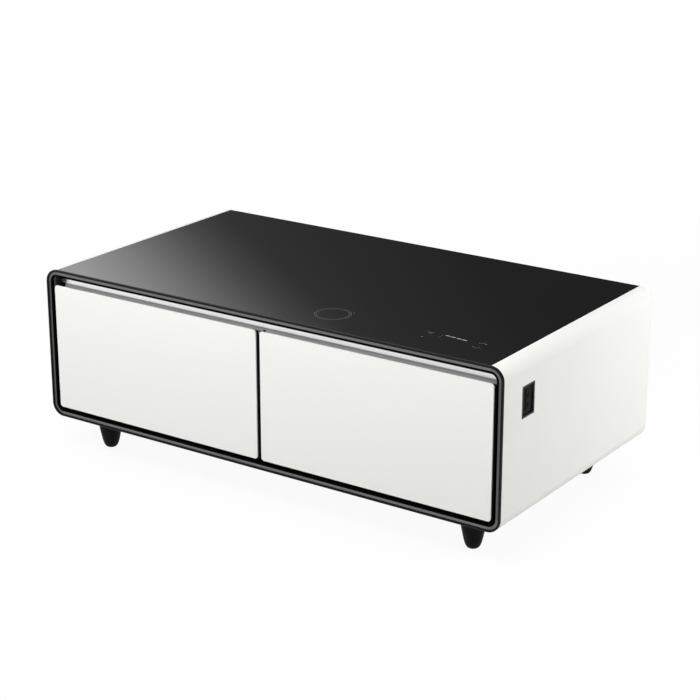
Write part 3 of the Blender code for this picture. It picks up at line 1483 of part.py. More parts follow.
def build_machine_room(cabinet):
    """Makes the cooling machinery."""
    finish_part(make_tray(), "galvanised", cabinet)
    finish_part(make_compressor(), "dark_steel", cabinet)
    finish_part(make_shroud(), "black_plastic", cabinet)
    finish_part(make_fan_motor(), "dark_grey", cabinet)
    finish_part(make_condenser(), "bright_aluminium", cabinet)
    finish_part(make_discharge_pipe(), "copper", cabinet)
    finish_part(make_suction_pipe(), "copper", cabinet)
    finish_part(make_drier(), "copper", cabinet)
    axis = make_empty("fan_axis", fan_centre(), cabinet)
    finish_part(make_fan(), "dark_grey", axis)


def build_electrics(cabinet):
    """Makes the boards, the coil, the mains inlet and the side port."""
    finish_part(make_control_box(), "black_plastic", cabinet)
    finish_part(make_control_board(), "board_green", cabinet)
    finish_part(make_inlet(), "black_plastic", cabinet)
    finish_part(make_coil(), "copper", cabinet)
    finish_part(make_touch_board(), "board_green", cabinet)
    finish_part(make_port_bezel(), "dark_grey", cabinet)
    finish_part(make_port_module(), "black_plastic", cabinet)


def build_drawer(cabinet, label, side):
    """Makes one drawer with its front, tub and slides."""
    low, high = liner_corners(side)
    middle_x = (low[0] + high[0]) / 2
    axis_place = (middle_x, SLIDE_FRONT_END, SLIDE_Z)
    drawer = make_empty(f"{label}_drawer_axis", axis_place, cabinet)
    runners = make_empty(f"{label}_runners_axis", axis_place, cabinet)
    finish_part(make_front_glass(f"{label}_drawer_front", side), "white_glass", drawer)
    finish_part(make_core(f"{label}_drawer_core", side), "black_plastic", drawer)
    finish_part(make_channel(f"{label}_drawer_handle", side), "bright_aluminium", drawer)
    finish_part(make_gasket(f"{label}_drawer_gasket", side), "soft_gasket", drawer)
    finish_part(make_tub(f"{label}_drawer_tub", side), "clear_tub", drawer)
    carriers = {"cabinet": cabinet, "middle": runners, "drawer": drawer}
    walls = (
        ("outer", side * (RIGHT - SIDE_WALL), -side),
        ("inner", side * MULLION_HALF_WALL, side),
    )
    for place, wall_x, inward in walls:
        for member, carrier in carriers.items():
            name = f"{label}_{place}_slide_{member}_member"
            finish_part(make_slide_member(name, member, wall_x, inward), "bearing_steel", carrier)


def build_table():
    """Makes the whole table."""
    cabinet = build_cabinet()
    for label, side in SIDES:
        build_drawer(cabinet, label, side)


build_table()
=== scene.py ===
"""Looks of the refrigerator coffee table: its finishes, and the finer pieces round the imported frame.

Metres, +Z up, the origin on the floor under the middle of the cabinet, drawers towards -Y.
"""

import json
import math

import bmesh
import bpy
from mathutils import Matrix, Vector


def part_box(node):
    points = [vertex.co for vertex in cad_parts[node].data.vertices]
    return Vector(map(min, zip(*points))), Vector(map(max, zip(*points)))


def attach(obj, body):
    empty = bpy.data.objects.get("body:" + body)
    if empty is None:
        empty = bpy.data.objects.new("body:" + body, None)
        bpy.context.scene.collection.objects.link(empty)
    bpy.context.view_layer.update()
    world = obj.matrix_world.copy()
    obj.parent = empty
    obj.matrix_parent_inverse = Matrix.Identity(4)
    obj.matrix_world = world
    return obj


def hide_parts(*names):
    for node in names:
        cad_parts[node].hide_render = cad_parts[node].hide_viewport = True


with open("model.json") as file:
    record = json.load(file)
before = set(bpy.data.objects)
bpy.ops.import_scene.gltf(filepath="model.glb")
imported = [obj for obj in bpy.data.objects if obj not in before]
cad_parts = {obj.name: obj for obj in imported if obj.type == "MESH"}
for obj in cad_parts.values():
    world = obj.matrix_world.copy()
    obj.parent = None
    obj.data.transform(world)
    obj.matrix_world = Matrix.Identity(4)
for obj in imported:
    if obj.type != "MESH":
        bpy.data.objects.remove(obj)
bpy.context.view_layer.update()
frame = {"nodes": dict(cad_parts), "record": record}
NODES = frame["nodes"]
BODIES = {node: body for body, nodes in frame["record"]["behaviour"]["bodies"].items() for node in nodes}
SIDES = {"left": -1, "right": 1}

# Body
BODY_LEFT = -0.650
BODY_RIGHT = 0.650
BODY_FRONT = -0.350
BODY_BACK = 0.350
BODY_BOTTOM = 0.090
BODY_TOP = 0.472
SHEET = 0.0010
SHOULDER_RADIUS = 0.0325
SHOULDER_STEPS = 20
LEDGE_TOP = 0.4667
LEDGE_WIDTH = 0.015
SHELL_FRONT = -0.3437
SHELL_BACK = 0.3487
SHEET_EDGE = 0.0003
GLASS_EDGE = 0.0006

# Front frame: a dark lip that stands proud of a satin band
FRAME_FACE = 0.0125
FRAME_BACK = -0.344
SLEEVE_WALL = 0.0025
SLEEVE_BACK = -0.3023
FRAME_OUTER_ROUND = 0.0020
FRAME_INNER_ROUND = 0.0010
FRAME_LIP_INSET = 0.0046
FRAME_LIP_ROUND = 0.0005
FRAME_BAND_INSET = 0.0054
FRAME_BAND_SETBACK = 0.0032
FRAME_BAND_END = FRAME_FACE - FRAME_INNER_ROUND * 0.7
ROUND_STEPS = 6

# Drawer fronts and finger channels
FRONT_CORNER = 0.008
FRONT_EDGE = 0.0009
FRONT_INNER_TRIM = 0.0010
FRONT_OUTER_TRIM = 0.0020
CORE_CORNER = 0.012
CORE_EDGE = 0.0010
CHANNEL_LIP = -0.3425
CHANNEL_LIP_TOP = 0.4322
CHANNEL_LIP_BACK = -0.3405
CHANNEL_FLOOR = 0.4235
CHANNEL_WALL = -0.3200
CHANNEL_TOP = 0.456
CHANNEL_METAL = 0.0012
CHANNEL_LEAN = math.tan(math.radians(10))
CHANNEL_REACH = 0.0007
CHANNEL_REAR_FILLET = 0.008
CHANNEL_FRONT_FILLET = 0.003
CHANNEL_SHADE_TOP = 0.4350
CHANNEL_FOOT_START = -0.6096
CHANNEL_CAP = 0.0070
STRIP_TOP = 0.4442
STRIP_END = 0.6200
STRIP_CORNER = 0.017
STRIP_SPARE = 0.05
NOTCH_END = 0.0075
NOTCH_TOP = 0.4305
NOTCH_BACK = CHANNEL_WALL - 0.004

# Inside of the drawers
TUB_WALL = 0.002
TUB_RIM = 0.006
TUB_CORNER = 0.018
TUB_FOOT_ROUND = 0.007
TUB_EDGE = 0.0005
TUB_GROOVES = 7
TUB_GROOVE_WIDTH = 0.005
TUB_GROOVE_DEPTH = 0.0008
TUB_GROOVE_SIDE = 0.06
TUB_GROOVE_END = 0.05
GASKET_WIDTH = 0.012
GASKET_CORNER = 0.008
GASKET_INNER_CORNER = 0.002
GASKET_EDGE = 0.0004
GASKET_FOLDS = ((0.0030, 0.0041), (0.0079, 0.0090))
GASKET_FOLD_DEPTH = 0.0022
SLIDE_EDGE = 0.0004
SLIDE_MIDDLE = 0.2805
SLIDE_HOLES = (-0.215, -0.160, -0.030, 0.045, 0.075)
SLIDE_HOLE_RADIUS = 0.0026
SLIDE_HOLE_REACH = 0.015

# Back of the cabinet
SCREW_RADIUS = 0.0029
SCREW_HEIGHT = 0.0006
SCREW_PROFILE = ((1, 0), (1, 0.35), (0.9, 0.75), (0.6, 1))
SCREW_RECESS = (0.55, 0.11)
SCREW_RECESS_FLOOR = 0.3
DIMPLE_DEPTH = 0.0007
DIMPLE_RADIUS = 0.0046
DIMPLE_FLOOR_RADIUS = 0.0033
PANEL_SCREWS = tuple((x, z) for z in (0.104, 0.450) for x in (-0.60, -0.36, -0.12, 0.12, 0.36, 0.60))
PANEL_SIDE_SCREWS = tuple((x, z) for x in (-0.638, 0.638) for z in (0.200, 0.340))
GRILLE_SCREWS = tuple((x, z) for z in (0.153, 0.389) for x in (-0.327, -0.040, 0.250, 0.537))
PANEL_BEADS = (
    (-0.300, 0.424, 0.510, 0.432),
    (-0.300, 0.122, 0.510, 0.130),
    (-0.592, 0.150, -0.584, 0.410),
    (0.586, 0.150, 0.594, 0.410),
)
BEAD_FLOOR = BODY_BACK - 0.0006
BEAD_CORNER = 0.0038
BEAD_FOOT_ROUND = 0.0005
GRILLE_MARGIN = 0.01
LOUVRE_REACH = (0, -0.0026, -0.0032)
SLOT_ROUND = 0.0028
INLET_PLACE = (-0.485, 0.176)
INLET_FLOOR = 0.332
INLET_PINS = ((-0.007, -0.0016), (0.007, -0.0016), (0, 0.0034))
PIN_HALF_WIDTH = 0.001
PIN_HALF_HEIGHT = 0.002
PIN_ROOT = INLET_FLOOR - 0.0005
PIN_TIP = INLET_FLOOR + 0.0135
PIN_TIP_ROUND = 0.0007

# Socket port in the right side panel
PORT_Y = -0.239
PORT_Z = 0.3695
PORT_WIDTH = 0.055
PORT_HEIGHT = 0.075
PORT_CORNER = 0.003
PORT_BORDER = 0.0045
PORT_BEZEL_BACK = BODY_RIGHT - 0.0023
PORT_BEZEL_EDGE = 0.0005
PORT_FACE = 0.647
PORT_COLUMN_WIDTH = 0.014
PORT_COLUMN_HEIGHT = 0.048
PORT_COLUMN_FACE = 0.6485
PORT_COLUMN_ROOT = 0.001
PORT_COLUMN_EDGE = 0.0006
SOCKET_WIDTH = 0.0055
SOCKET_LENGTH = 0.0135
SOCKET_PITCH = 0.023
SOCKET_DEPTH = 0.012
TONGUE_LOW = (PORT_COLUMN_FACE - SOCKET_DEPTH - 0.001, PORT_Y - 0.0002, PORT_Z - 0.0052)
TONGUE_HIGH = (PORT_COLUMN_FACE - 0.0012, PORT_Y + 0.0018, PORT_Z + 0.0052)
TONGUE_EDGE = 0.0003

# Marks on the glass: place, length and width of each bar; the touch marks are printed, the display's lit bars
# are a painted glow
MARK_HEIGHT = 0.00005
MARK_SINK = 0.00002
CHARGER_PLACE = (0.140, -0.246)
CHARGER_RING = 0.0425
CHARGER_LINE = 0.0007
CHARGER_INNER_RING = 0.90
CHARGER_TICK = ((0.175, -0.211), 0.010, 0.0014, -45)
DISPLAY_BARS = (
    ((0.4385, -0.2300), 0.0125, 0.0026),
    ((0.4530, -0.2312), 0.0125, 0.0026),
    ((0.4690, -0.2330), 0.0125, 0.0026),
    ((0.4835, -0.2345), 0.0125, 0.0026),
)
TOUCH_BARS = (
    ((0.3940, -0.2300), 0.0170, 0.0018),
    ((0.3960, -0.2370), 0.0100, 0.0013),
    ((0.3930, -0.2660), 0.0052, 0.0036),
    ((0.4260, -0.2330), 0.0050, 0.0010),
    ((0.4260, -0.2410), 0.0050, 0.0010),
    ((0.4260, -0.2490), 0.0050, 0.0010),
)
CHEVRONS = (((0.5305, -0.2312), 1), ((0.5290, -0.2625), -1))
CHEVRON_SIZE = 0.0105
CHEVRON_WIDTH = 0.0016
CHEVRON_ARM = 1.15
CHEVRON_SPREAD = 0.47
CHEVRON_DEGREES = 32

# Feet: (radius, height) from the floor up
FOOT_PROFILE = (
    (0.0100, 0.0012),
    (0.0134, 0.0027),
    (0.0174, 0.0082),
    (0.0205, 0.0172),
    (0.0226, 0.0254),
    (0.0246, 0.0354),
    (0.0279, 0.0517),
    (0.0302, 0.0708),
    (0.0308, 0.0908),
)
FOOT_FINE_STEPS = 4
STUD_RADIUS = 0.005
STUD_TOP = 0.1025
PAD_PROFILE = ((0.0078, 0), (0.0086, 0.0003), (0.0088, 0.0008), (0.0088, 0.0022))
FOOT_PLACES = {
    "front_left_foot": (-0.535, -0.265),
    "front_right_foot": (0.535, -0.265),
    "rear_left_foot": (-0.535, 0.260),
    "rear_right_foot": (0.535, 0.260),
}

# Camera, from the corners of the body in the photograph
CAMERA_PLACE = (2.553, -3.674, 1.835)
CAMERA_TILT_DEGREES = 70.92
CAMERA_TURN_DEGREES = 34.63
CAMERA_LENS = 99.45
CAMERA_SHIFT = 0.0008
CAMERA_SENSOR = 36.0
CAMERA_REACH = 200

# Lamps: name, place, width and height, watts, and the point that the lamp looks at
LAMPS = (
    ("low_front", (-2.0, -3.2, 0.55), (2.2, 0.9), 19, (0, 0, 0.3)),
    ("high_front", (-0.3, -1.6, 1.5), (1.8, 0.5), 6, (0, -0.35, 0.35)),
    ("front_strip", (0.1, -0.95, 1.15), (4.0, 0.25), 14.5, (0.1, -0.35, 0.35)),
    ("overhead", (0, 0.1, 2.4), (2.4, 1.6), 15, (0, 0.1, 0.4)),
    ("right_side", (1.7, 0.9, 0.9), (0.8, 0.5), 14, (0.65, 0.25, 0.3)),
    ("rear_left", (-2.6, 2.6, 1.4), (2.0, 1.4), 35, (0, 0, 0.3)),
)

# World and floor: in gloss the world's level goes by degrees to the left of the rear, more as a view rises
FLOOR_SIZE = 60.0
FLOOR_HEIGHT = -0.0002
FLOOR_GLOW = 0.92
FLOOR_NEAR = 1.2
FLOOR_FAR = 3.0
FLOOR_SEEN = (0.90, 0.90, 0.90, 1.0)
FLOOR_BOUNCE = (0.55, 0.55, 0.55, 1.0)
WORLD_SOFT_LIGHT = 0.40
GLOSS_LEAN = 1.15
GLOSS_LEVELS = (
    (20, 0.03),
    (49, 0.055),
    (54, 0.095),
    (56, 0.125),
    (57.5, 0.28),
    (59, 0.60),
    (62, 1.43),
    (146, 1.43),
    (179, 0.03),
)

# Numbers that many pieces share
MERGE = 0.00001
NEAR = 0.00005
SPARE = 0.01
FACING = 0.9
ROUND_END = 0.48
SMOOTH_DEGREES = 40
SMOOTH_FINE_DEGREES = 30
SMOOTH_CHANNEL_DEGREES = 35
SMOOTH_SOFT_DEGREES = 50
AXIS_TURNS = {"X": (0, math.pi / 2, 0), "Y": (-math.pi / 2, 0, 0), "Z": (0, 0, 0)}


# Operators
def start_fresh():
    """Leaves edit mode and deselects everything, because an operator acts on all that is selected."""
    if bpy.context.object and bpy.context.object.mode != "OBJECT":
        bpy.ops.object.mode_set(mode="OBJECT")
    bpy.ops.object.select_all(action="DESELECT")


def take(piece):
    """Makes a piece the only selected and the active object."""
    start_fresh()
    piece.select_set(True)
    bpy.context.view_layer.objects.active = piece
    return piece


def settle(piece):
    """Puts a piece's place, turn and size into its mesh, so that its object stands at the origin."""
    take(piece)
    bpy.ops.object.transform_apply(location=True, rotation=True, scale=True)
    return piece


def named(name):
    """Names the object that an operator has just added and settles it."""
    piece = bpy.context.object
    piece.name = name
    piece.data.name = name
    return settle(piece)


def add_block(name, low, high):
    """A block between two corners."""
    start_fresh()
    low = Vector(low)
    high = Vector(high)
    bpy.ops.mesh.primitive_cube_add(size=1, location=(low + high) / 2, scale=high - low)
    return named(name)


def edit(piece):
    """Opens a piece in edit mode with nothing selected."""
    take(piece)
    bpy.ops.object.mode_set(mode="EDIT")
    bpy.ops.mesh.select_all(action="DESELECT")
    return piece


def pick_faces(piece, wanted):
    """Selects the faces of an open piece whose middle and normal are wanted."""
    bpy.ops.mesh.select_mode(type="FACE")
    bpy.ops.mesh.select_all(action="DESELECT")
    shape = bmesh.from_edit_mesh(piece.data)
    for face in shape.faces:
        if wanted(face.calc_center_median(), face.normal):
            face.select_set(True)
    bmesh.update_edit_mesh(piece.data)


def pick_edges(piece, wanted):
    """Selects the edges of an open piece whose two ends are wanted."""
    bpy.ops.mesh.select_mode(type="EDGE")
    bpy.ops.mesh.select_all(action="DESELECT")
    shape = bmesh.from_edit_mesh(piece.data)
    for edge in shape.edges:
        if wanted(edge.verts[0].co, edge.verts[1].co):
            edge.select_set(True)
    bmesh.update_edit_mesh(piece.data)


def along(axis):
    """A test for edges that run along an axis, given as 0, 1 or 2."""
    others = [number for number in range(3) if number != axis]
    return lambda a, b: all(abs(a[i] - b[i]) < NEAR for i in others)


def at(axis, value):
    """A test for edges that lie in the plane where a coordinate has a value."""
    return lambda a, b: abs(a[axis] - value) < NEAR and abs(b[axis] - value) < NEAR


def every_edge(a, b):
    """A test that takes all the edges."""
    return True


def shade(piece, degrees=SMOOTH_DEGREES):
    """Shades a piece's rounds smooth and leaves the sharper edges crisp."""
    take(piece)
    bpy.ops.object.shade_smooth_by_angle(angle=math.radians(degrees))
    return piece


def close(piece, smooth_degrees=SMOOTH_DEGREES):
    """Merges doubles, turns the faces outwards, leaves edit mode and shades the rounds smooth."""
    bpy.ops.mesh.select_all(action="SELECT")
    bpy.ops.mesh.remove_doubles(threshold=MERGE)
    bpy.ops.mesh.normals_make_consistent(inside=False)
    return shade(piece, smooth_degrees)


def bevel(radius, steps):
    """Rounds the selected edges."""
    bpy.ops.mesh.bevel(offset=radius, segments=steps, profile=0.5, affect="EDGES", clamp_overlap=False)


def round_off(piece, *rounds):
    """Rounds runs of a piece's edges in turn, each given as its test, its radius and its steps."""
    edit(piece)
    for wanted, radius, steps in rounds:
        pick_edges(piece, wanted)
        bevel(radius, steps)
    return close(piece)


def push_edges(piece, wanted, move):
    """Moves the edges of an open piece that are wanted."""
    pick_edges(piece, wanted)
    bpy.ops.transform.translate(value=move)


def apply_modifier(piece, kind, **settings):
    """Adds a modifier with its settings and applies it."""
    take(piece)
    modifier = piece.modifiers.new(kind.lower(), kind)
    for setting, value in settings.items():
        setattr(modifier, setting, value)
    bpy.ops.object.modifier_apply(modifier=modifier.name)
    return piece


def combine(piece, operation, other):
    """Cuts, joins or trims a piece with another shape, which stays."""
    return apply_modifier(piece, "BOOLEAN", operation=operation, solver="EXACT", object=other)


def cut(piece, tool):
    """Cuts a tool's shape out of a piece, and takes the tool away."""
    combine(piece, "DIFFERENCE", tool)
    bpy.data.objects.remove(tool, do_unlink=True)
    return piece


def turned(name, profile, place, axis="Z", sides=48):
    """A turned solid: a disc that is extruded and resized ring by ring along (radius, height)."""
    start_fresh()
    radius, height = profile[0]
    bpy.ops.mesh.primitive_circle_add(
        vertices=sides, radius=radius, fill_type="NGON", location=(0, 0, height)
    )
    piece = edit(named(name))
    bpy.ops.mesh.select_all(action="SELECT")
    for next_radius, next_height in profile[1:]:
        rise = next_height - height
        bpy.ops.mesh.extrude_region_move(TRANSFORM_OT_translate={"value": (0, 0, rise)})
        share = next_radius / radius
        bpy.ops.transform.resize(value=(share, share, 1), center_override=(0, 0, next_height))
        radius = next_radius
        height = next_height
    close(piece)
    piece.rotation_euler = AXIS_TURNS[axis]
    piece.location = place
    return settle(piece)


def smooth_profile(points, steps):
    """A finer run of points on a smooth curve through the given ones."""
    ends = [points[0], *points, points[-1]]
    fine = []
    for number in range(len(points) - 1):
        before, start, end, after = (Vector(point) for point in ends[number:number + 4])
        for step in range(steps):
            t = step / steps
            bend = 2 * before - 5 * start + 4 * end - after
            twist = 3 * (start - end) + after - before
            fine.append((2 * start + (end - before) * t + bend * t * t + twist * t ** 3) / 2)
    fine.append(Vector(points[-1]))
    return [tuple(point) for point in fine]


def duplicate(piece, name, move=(0, 0, 0)):
    """A copy of a piece with its own mesh, moved from it."""
    take(piece)
    bpy.ops.object.duplicate(linked=False)
    bpy.context.object.location = move
    return named(name)


def join_pieces(piece, *others):
    """Joins other meshes into a piece."""
    take(piece)
    for other in others:
        other.select_set(True)
    bpy.ops.object.join()
    return piece


# Shared effects of the finishes
def new_group(name, inputs, outputs):
    """An empty node group with named sockets; an input's last value is its default."""
    group = bpy.data.node_groups.new(name, "ShaderNodeTree")
    for socket, kind, value in inputs:
        made = group.interface.new_socket(socket, in_out="INPUT", socket_type=kind)
        if value is not None:
            made.default_value = value
    for socket in outputs:
        group.interface.new_socket(socket, in_out="OUTPUT", socket_type="NodeSocketFloat")
    return group, add_node(group, "NodeGroupInput").outputs, add_node(group, "NodeGroupOutput").inputs


def add_node(tree, kind, **settings):
    """Adds a node to a tree and sets its properties."""
    node = tree.nodes.new(kind)
    for setting, value in settings.items():
        setattr(node, setting, value)
    return node


def feed(tree, node, **values):
    """Gives inputs of a node their numbers, or links them to the outputs of other nodes."""
    for name, value in values.items():
        socket = node.inputs[name.replace("_", " ")]
        if isinstance(value, bpy.types.NodeSocket):
            tree.links.new(value, socket)
        else:
            socket.default_value = value
    return node


def math_node(tree, operation, *values):
    """A Math node whose inputs are numbers or the outputs of other nodes."""
    node = add_node(tree, "ShaderNodeMath", operation=operation)
    for socket, value in zip(node.inputs, values):
        if isinstance(value, bpy.types.NodeSocket):
            tree.links.new(value, socket)
        else:
            socket.default_value = value
    return node.outputs[0]


def noise_node(tree, vector, scale, detail, roughness=0.5):
    """The even grey of a Noise Texture that reads a vector."""
    node = add_node(tree, "ShaderNodeTexNoise")
    return feed(tree, node, Vector=vector, Scale=scale, Detail=detail, Roughness=roughness).outputs["Fac"]


def map_node(tree, value, **limits):
    """A Map Range node from 0 and 1, unless its limits say otherwise."""
    return feed(tree, add_node(tree, "ShaderNodeMapRange"), Value=value, **limits).outputs["Result"]


def make_grain_group():
    """Fine even texture of sprayed or moulded surfaces, and its slow change in gloss."""
    group, given, made = new_group(
        "fine_grain",
        [("Vector", "NodeSocketVector", None), ("Scale", "NodeSocketFloat", 900.0)],
        ["Height", "Variation"],
    )
    group.links.new(noise_node(group, given["Vector"], given["Scale"], 2.0), made["Height"])
    group.links.new(noise_node(group, given["Vector"], 9.0, 3.0), made["Variation"])
    return group


def make_brush_group():
    """Fine lines of brushed or rolled metal; Stretch is small along the lines."""
    group, given, made = new_group(
        "brush_lines",
        [("Vector", "NodeSocketVector", None), ("Stretch", "NodeSocketVector", (1.0, 1.0, 1.0))],
        ["Height", "Variation"],
    )
    stretch = add_node(group, "ShaderNodeVectorMath", operation="MULTIPLY")
    group.links.new(given["Vector"], stretch.inputs[0])
    group.links.new(given["Stretch"], stretch.inputs[1])
    group.links.new(noise_node(group, stretch.outputs["Vector"], 1.0, 4.0, 0.6), made["Height"])
    group.links.new(noise_node(group, given["Vector"], 6.0, 2.0), made["Variation"])
    return group


def make_dust_group():
    """Light dust that gathers on faces turned upwards, broken up by noise."""
    group, given, made = new_group(
        "settled_dust",
        [("Vector", "NodeSocketVector", None), ("Amount", "NodeSocketFloat", 0.2)],
        ["Mask"],
    )
    normal = add_node(group, "ShaderNodeNewGeometry").outputs["Normal"]
    parts = feed(group, add_node(group, "ShaderNodeSeparateXYZ"), Vector=normal)
    upwards = math_node(group, "MAXIMUM", parts.outputs["Z"], 0.0)
    specks = noise_node(group, given["Vector"], 40.0, 6.0, 0.7)
    broken = math_node(group, "MULTIPLY", upwards, specks)
    group.links.new(math_node(group, "MULTIPLY", broken, given["Amount"]), made["Mask"])
    return group


def make_smudge_group():
    """Faint wiped marks on polished surfaces, as a change in gloss."""
    group, given, made = new_group(
        "wiped_marks",
        [("Vector", "NodeSocketVector", None), ("Low", "NodeSocketFloat", 0.05),
         ("High", "NodeSocketFloat", 0.10)],
        ["Roughness"],
    )
    wiped = noise_node(group, given["Vector"], 5.0, 5.0, 0.6)
    spread = map_node(group, wiped, From_Min=0.35, From_Max=0.70, To_Min=given["Low"], To_Max=given["High"])
    group.links.new(spread, made["Roughness"])
    return group


GRAIN = make_grain_group()
BRUSH = make_brush_group()
DUST = make_dust_group()
SMUDGE = make_smudge_group()


# Materials
class Finish:
    """A material with its Principled shader and the object coordinates that its effects read."""

    def __init__(self, name, colour, roughness, metallic=0.0, **uniform):
        self.material = bpy.data.materials.new(name)
        self.material.use_nodes = True
        self.material.diffuse_color = (*colour, 1.0)
        self.tree = self.material.node_tree
        self.shader = self.tree.nodes["Principled BSDF"]
        self.colour = colour
        self.place = add_node(self.tree, "ShaderNodeTexCoord").outputs["Object"]
        self.set(Base_Color=(*colour, 1.0), Roughness=roughness, Metallic=metallic, **uniform)

    def set(self, **values):
        """Sets or links the shader's own sockets."""
        feed(self.tree, self.shader, **values)

    def effect(self, group, **values):
        """Places one of the shared effects and sets its inputs."""
        node = add_node(self.tree, "ShaderNodeGroup")
        node.node_tree = group
        return feed(self.tree, node, Vector=self.place, **values).outputs

    def bump(self, height, distance):
        """Feeds a height into a Bump node on the shader's normal."""
        node = feed(self.tree, add_node(self.tree, "ShaderNodeBump"), Distance=distance, Strength=1.0)
        self.tree.links.new(height, node.inputs["Height"])
        self.set(Normal=node.outputs["Normal"])

    def vary_roughness(self, value, low, high):
        """Spreads a value from 0 to 1 over a range of roughness."""
        self.set(Roughness=map_node(self.tree, value, To_Min=low, To_Max=high))

    def vary_colour(self, mask, other):
        """Mixes the base colour with another one by a mask."""
        node = add_node(self.tree, "ShaderNodeMix", data_type="RGBA")
        feed(self.tree, node, Factor=mask, A=(*self.colour, 1.0), B=(*other, 1.0))
        self.set(Base_Color=node.outputs["Result"])


def coated(name, colour, roughness, scale, depth, **uniform):
    """Sprayed or moulded finish: fine grain, a slow change in gloss and colour."""
    finish = Finish(name, colour, roughness, **uniform)
    grain = finish.effect(GRAIN, Scale=scale)
    finish.bump(grain["Height"], depth)
    finish.vary_roughness(grain["Variation"], roughness * 0.85, roughness * 1.15)
    finish.vary_colour(grain["Variation"], tuple(part * 0.97 for part in colour))
    return finish.material


def polished(name, colour, low, high, **uniform):
    """Glass and other polished faces with faint wiped marks."""
    finish = Finish(name, colour, low, **uniform)
    finish.set(Roughness=finish.effect(SMUDGE, Low=low, High=high)["Roughness"])
    return finish.material


def brushed(name, colour, roughness, stretch, depth, metallic=1.0, **uniform):
    """Metal with lines along its length."""
    finish = Finish(name, colour, roughness, metallic, **uniform)
    lines = finish.effect(BRUSH, Stretch=stretch)
    finish.bump(lines["Height"], depth)
    finish.vary_roughness(lines["Height"], roughness * 0.7, roughness * 1.3)
    finish.vary_colour(lines["Variation"], tuple(part * 0.93 for part in colour))
    return finish.material


def dusty(name, colour, roughness, scale, depth, amount):
    """Hidden parts of the machine room: grain and a little settled dust."""
    finish = Finish(name, colour, roughness)
    grain = finish.effect(GRAIN, Scale=scale)
    dust = finish.effect(DUST, Amount=amount)
    finish.bump(grain["Height"], depth)
    finish.vary_colour(dust["Mask"], (0.42, 0.40, 0.37))
    finish.vary_roughness(grain["Variation"], roughness * 0.8, min(1.0, roughness * 1.2))
    return finish.material


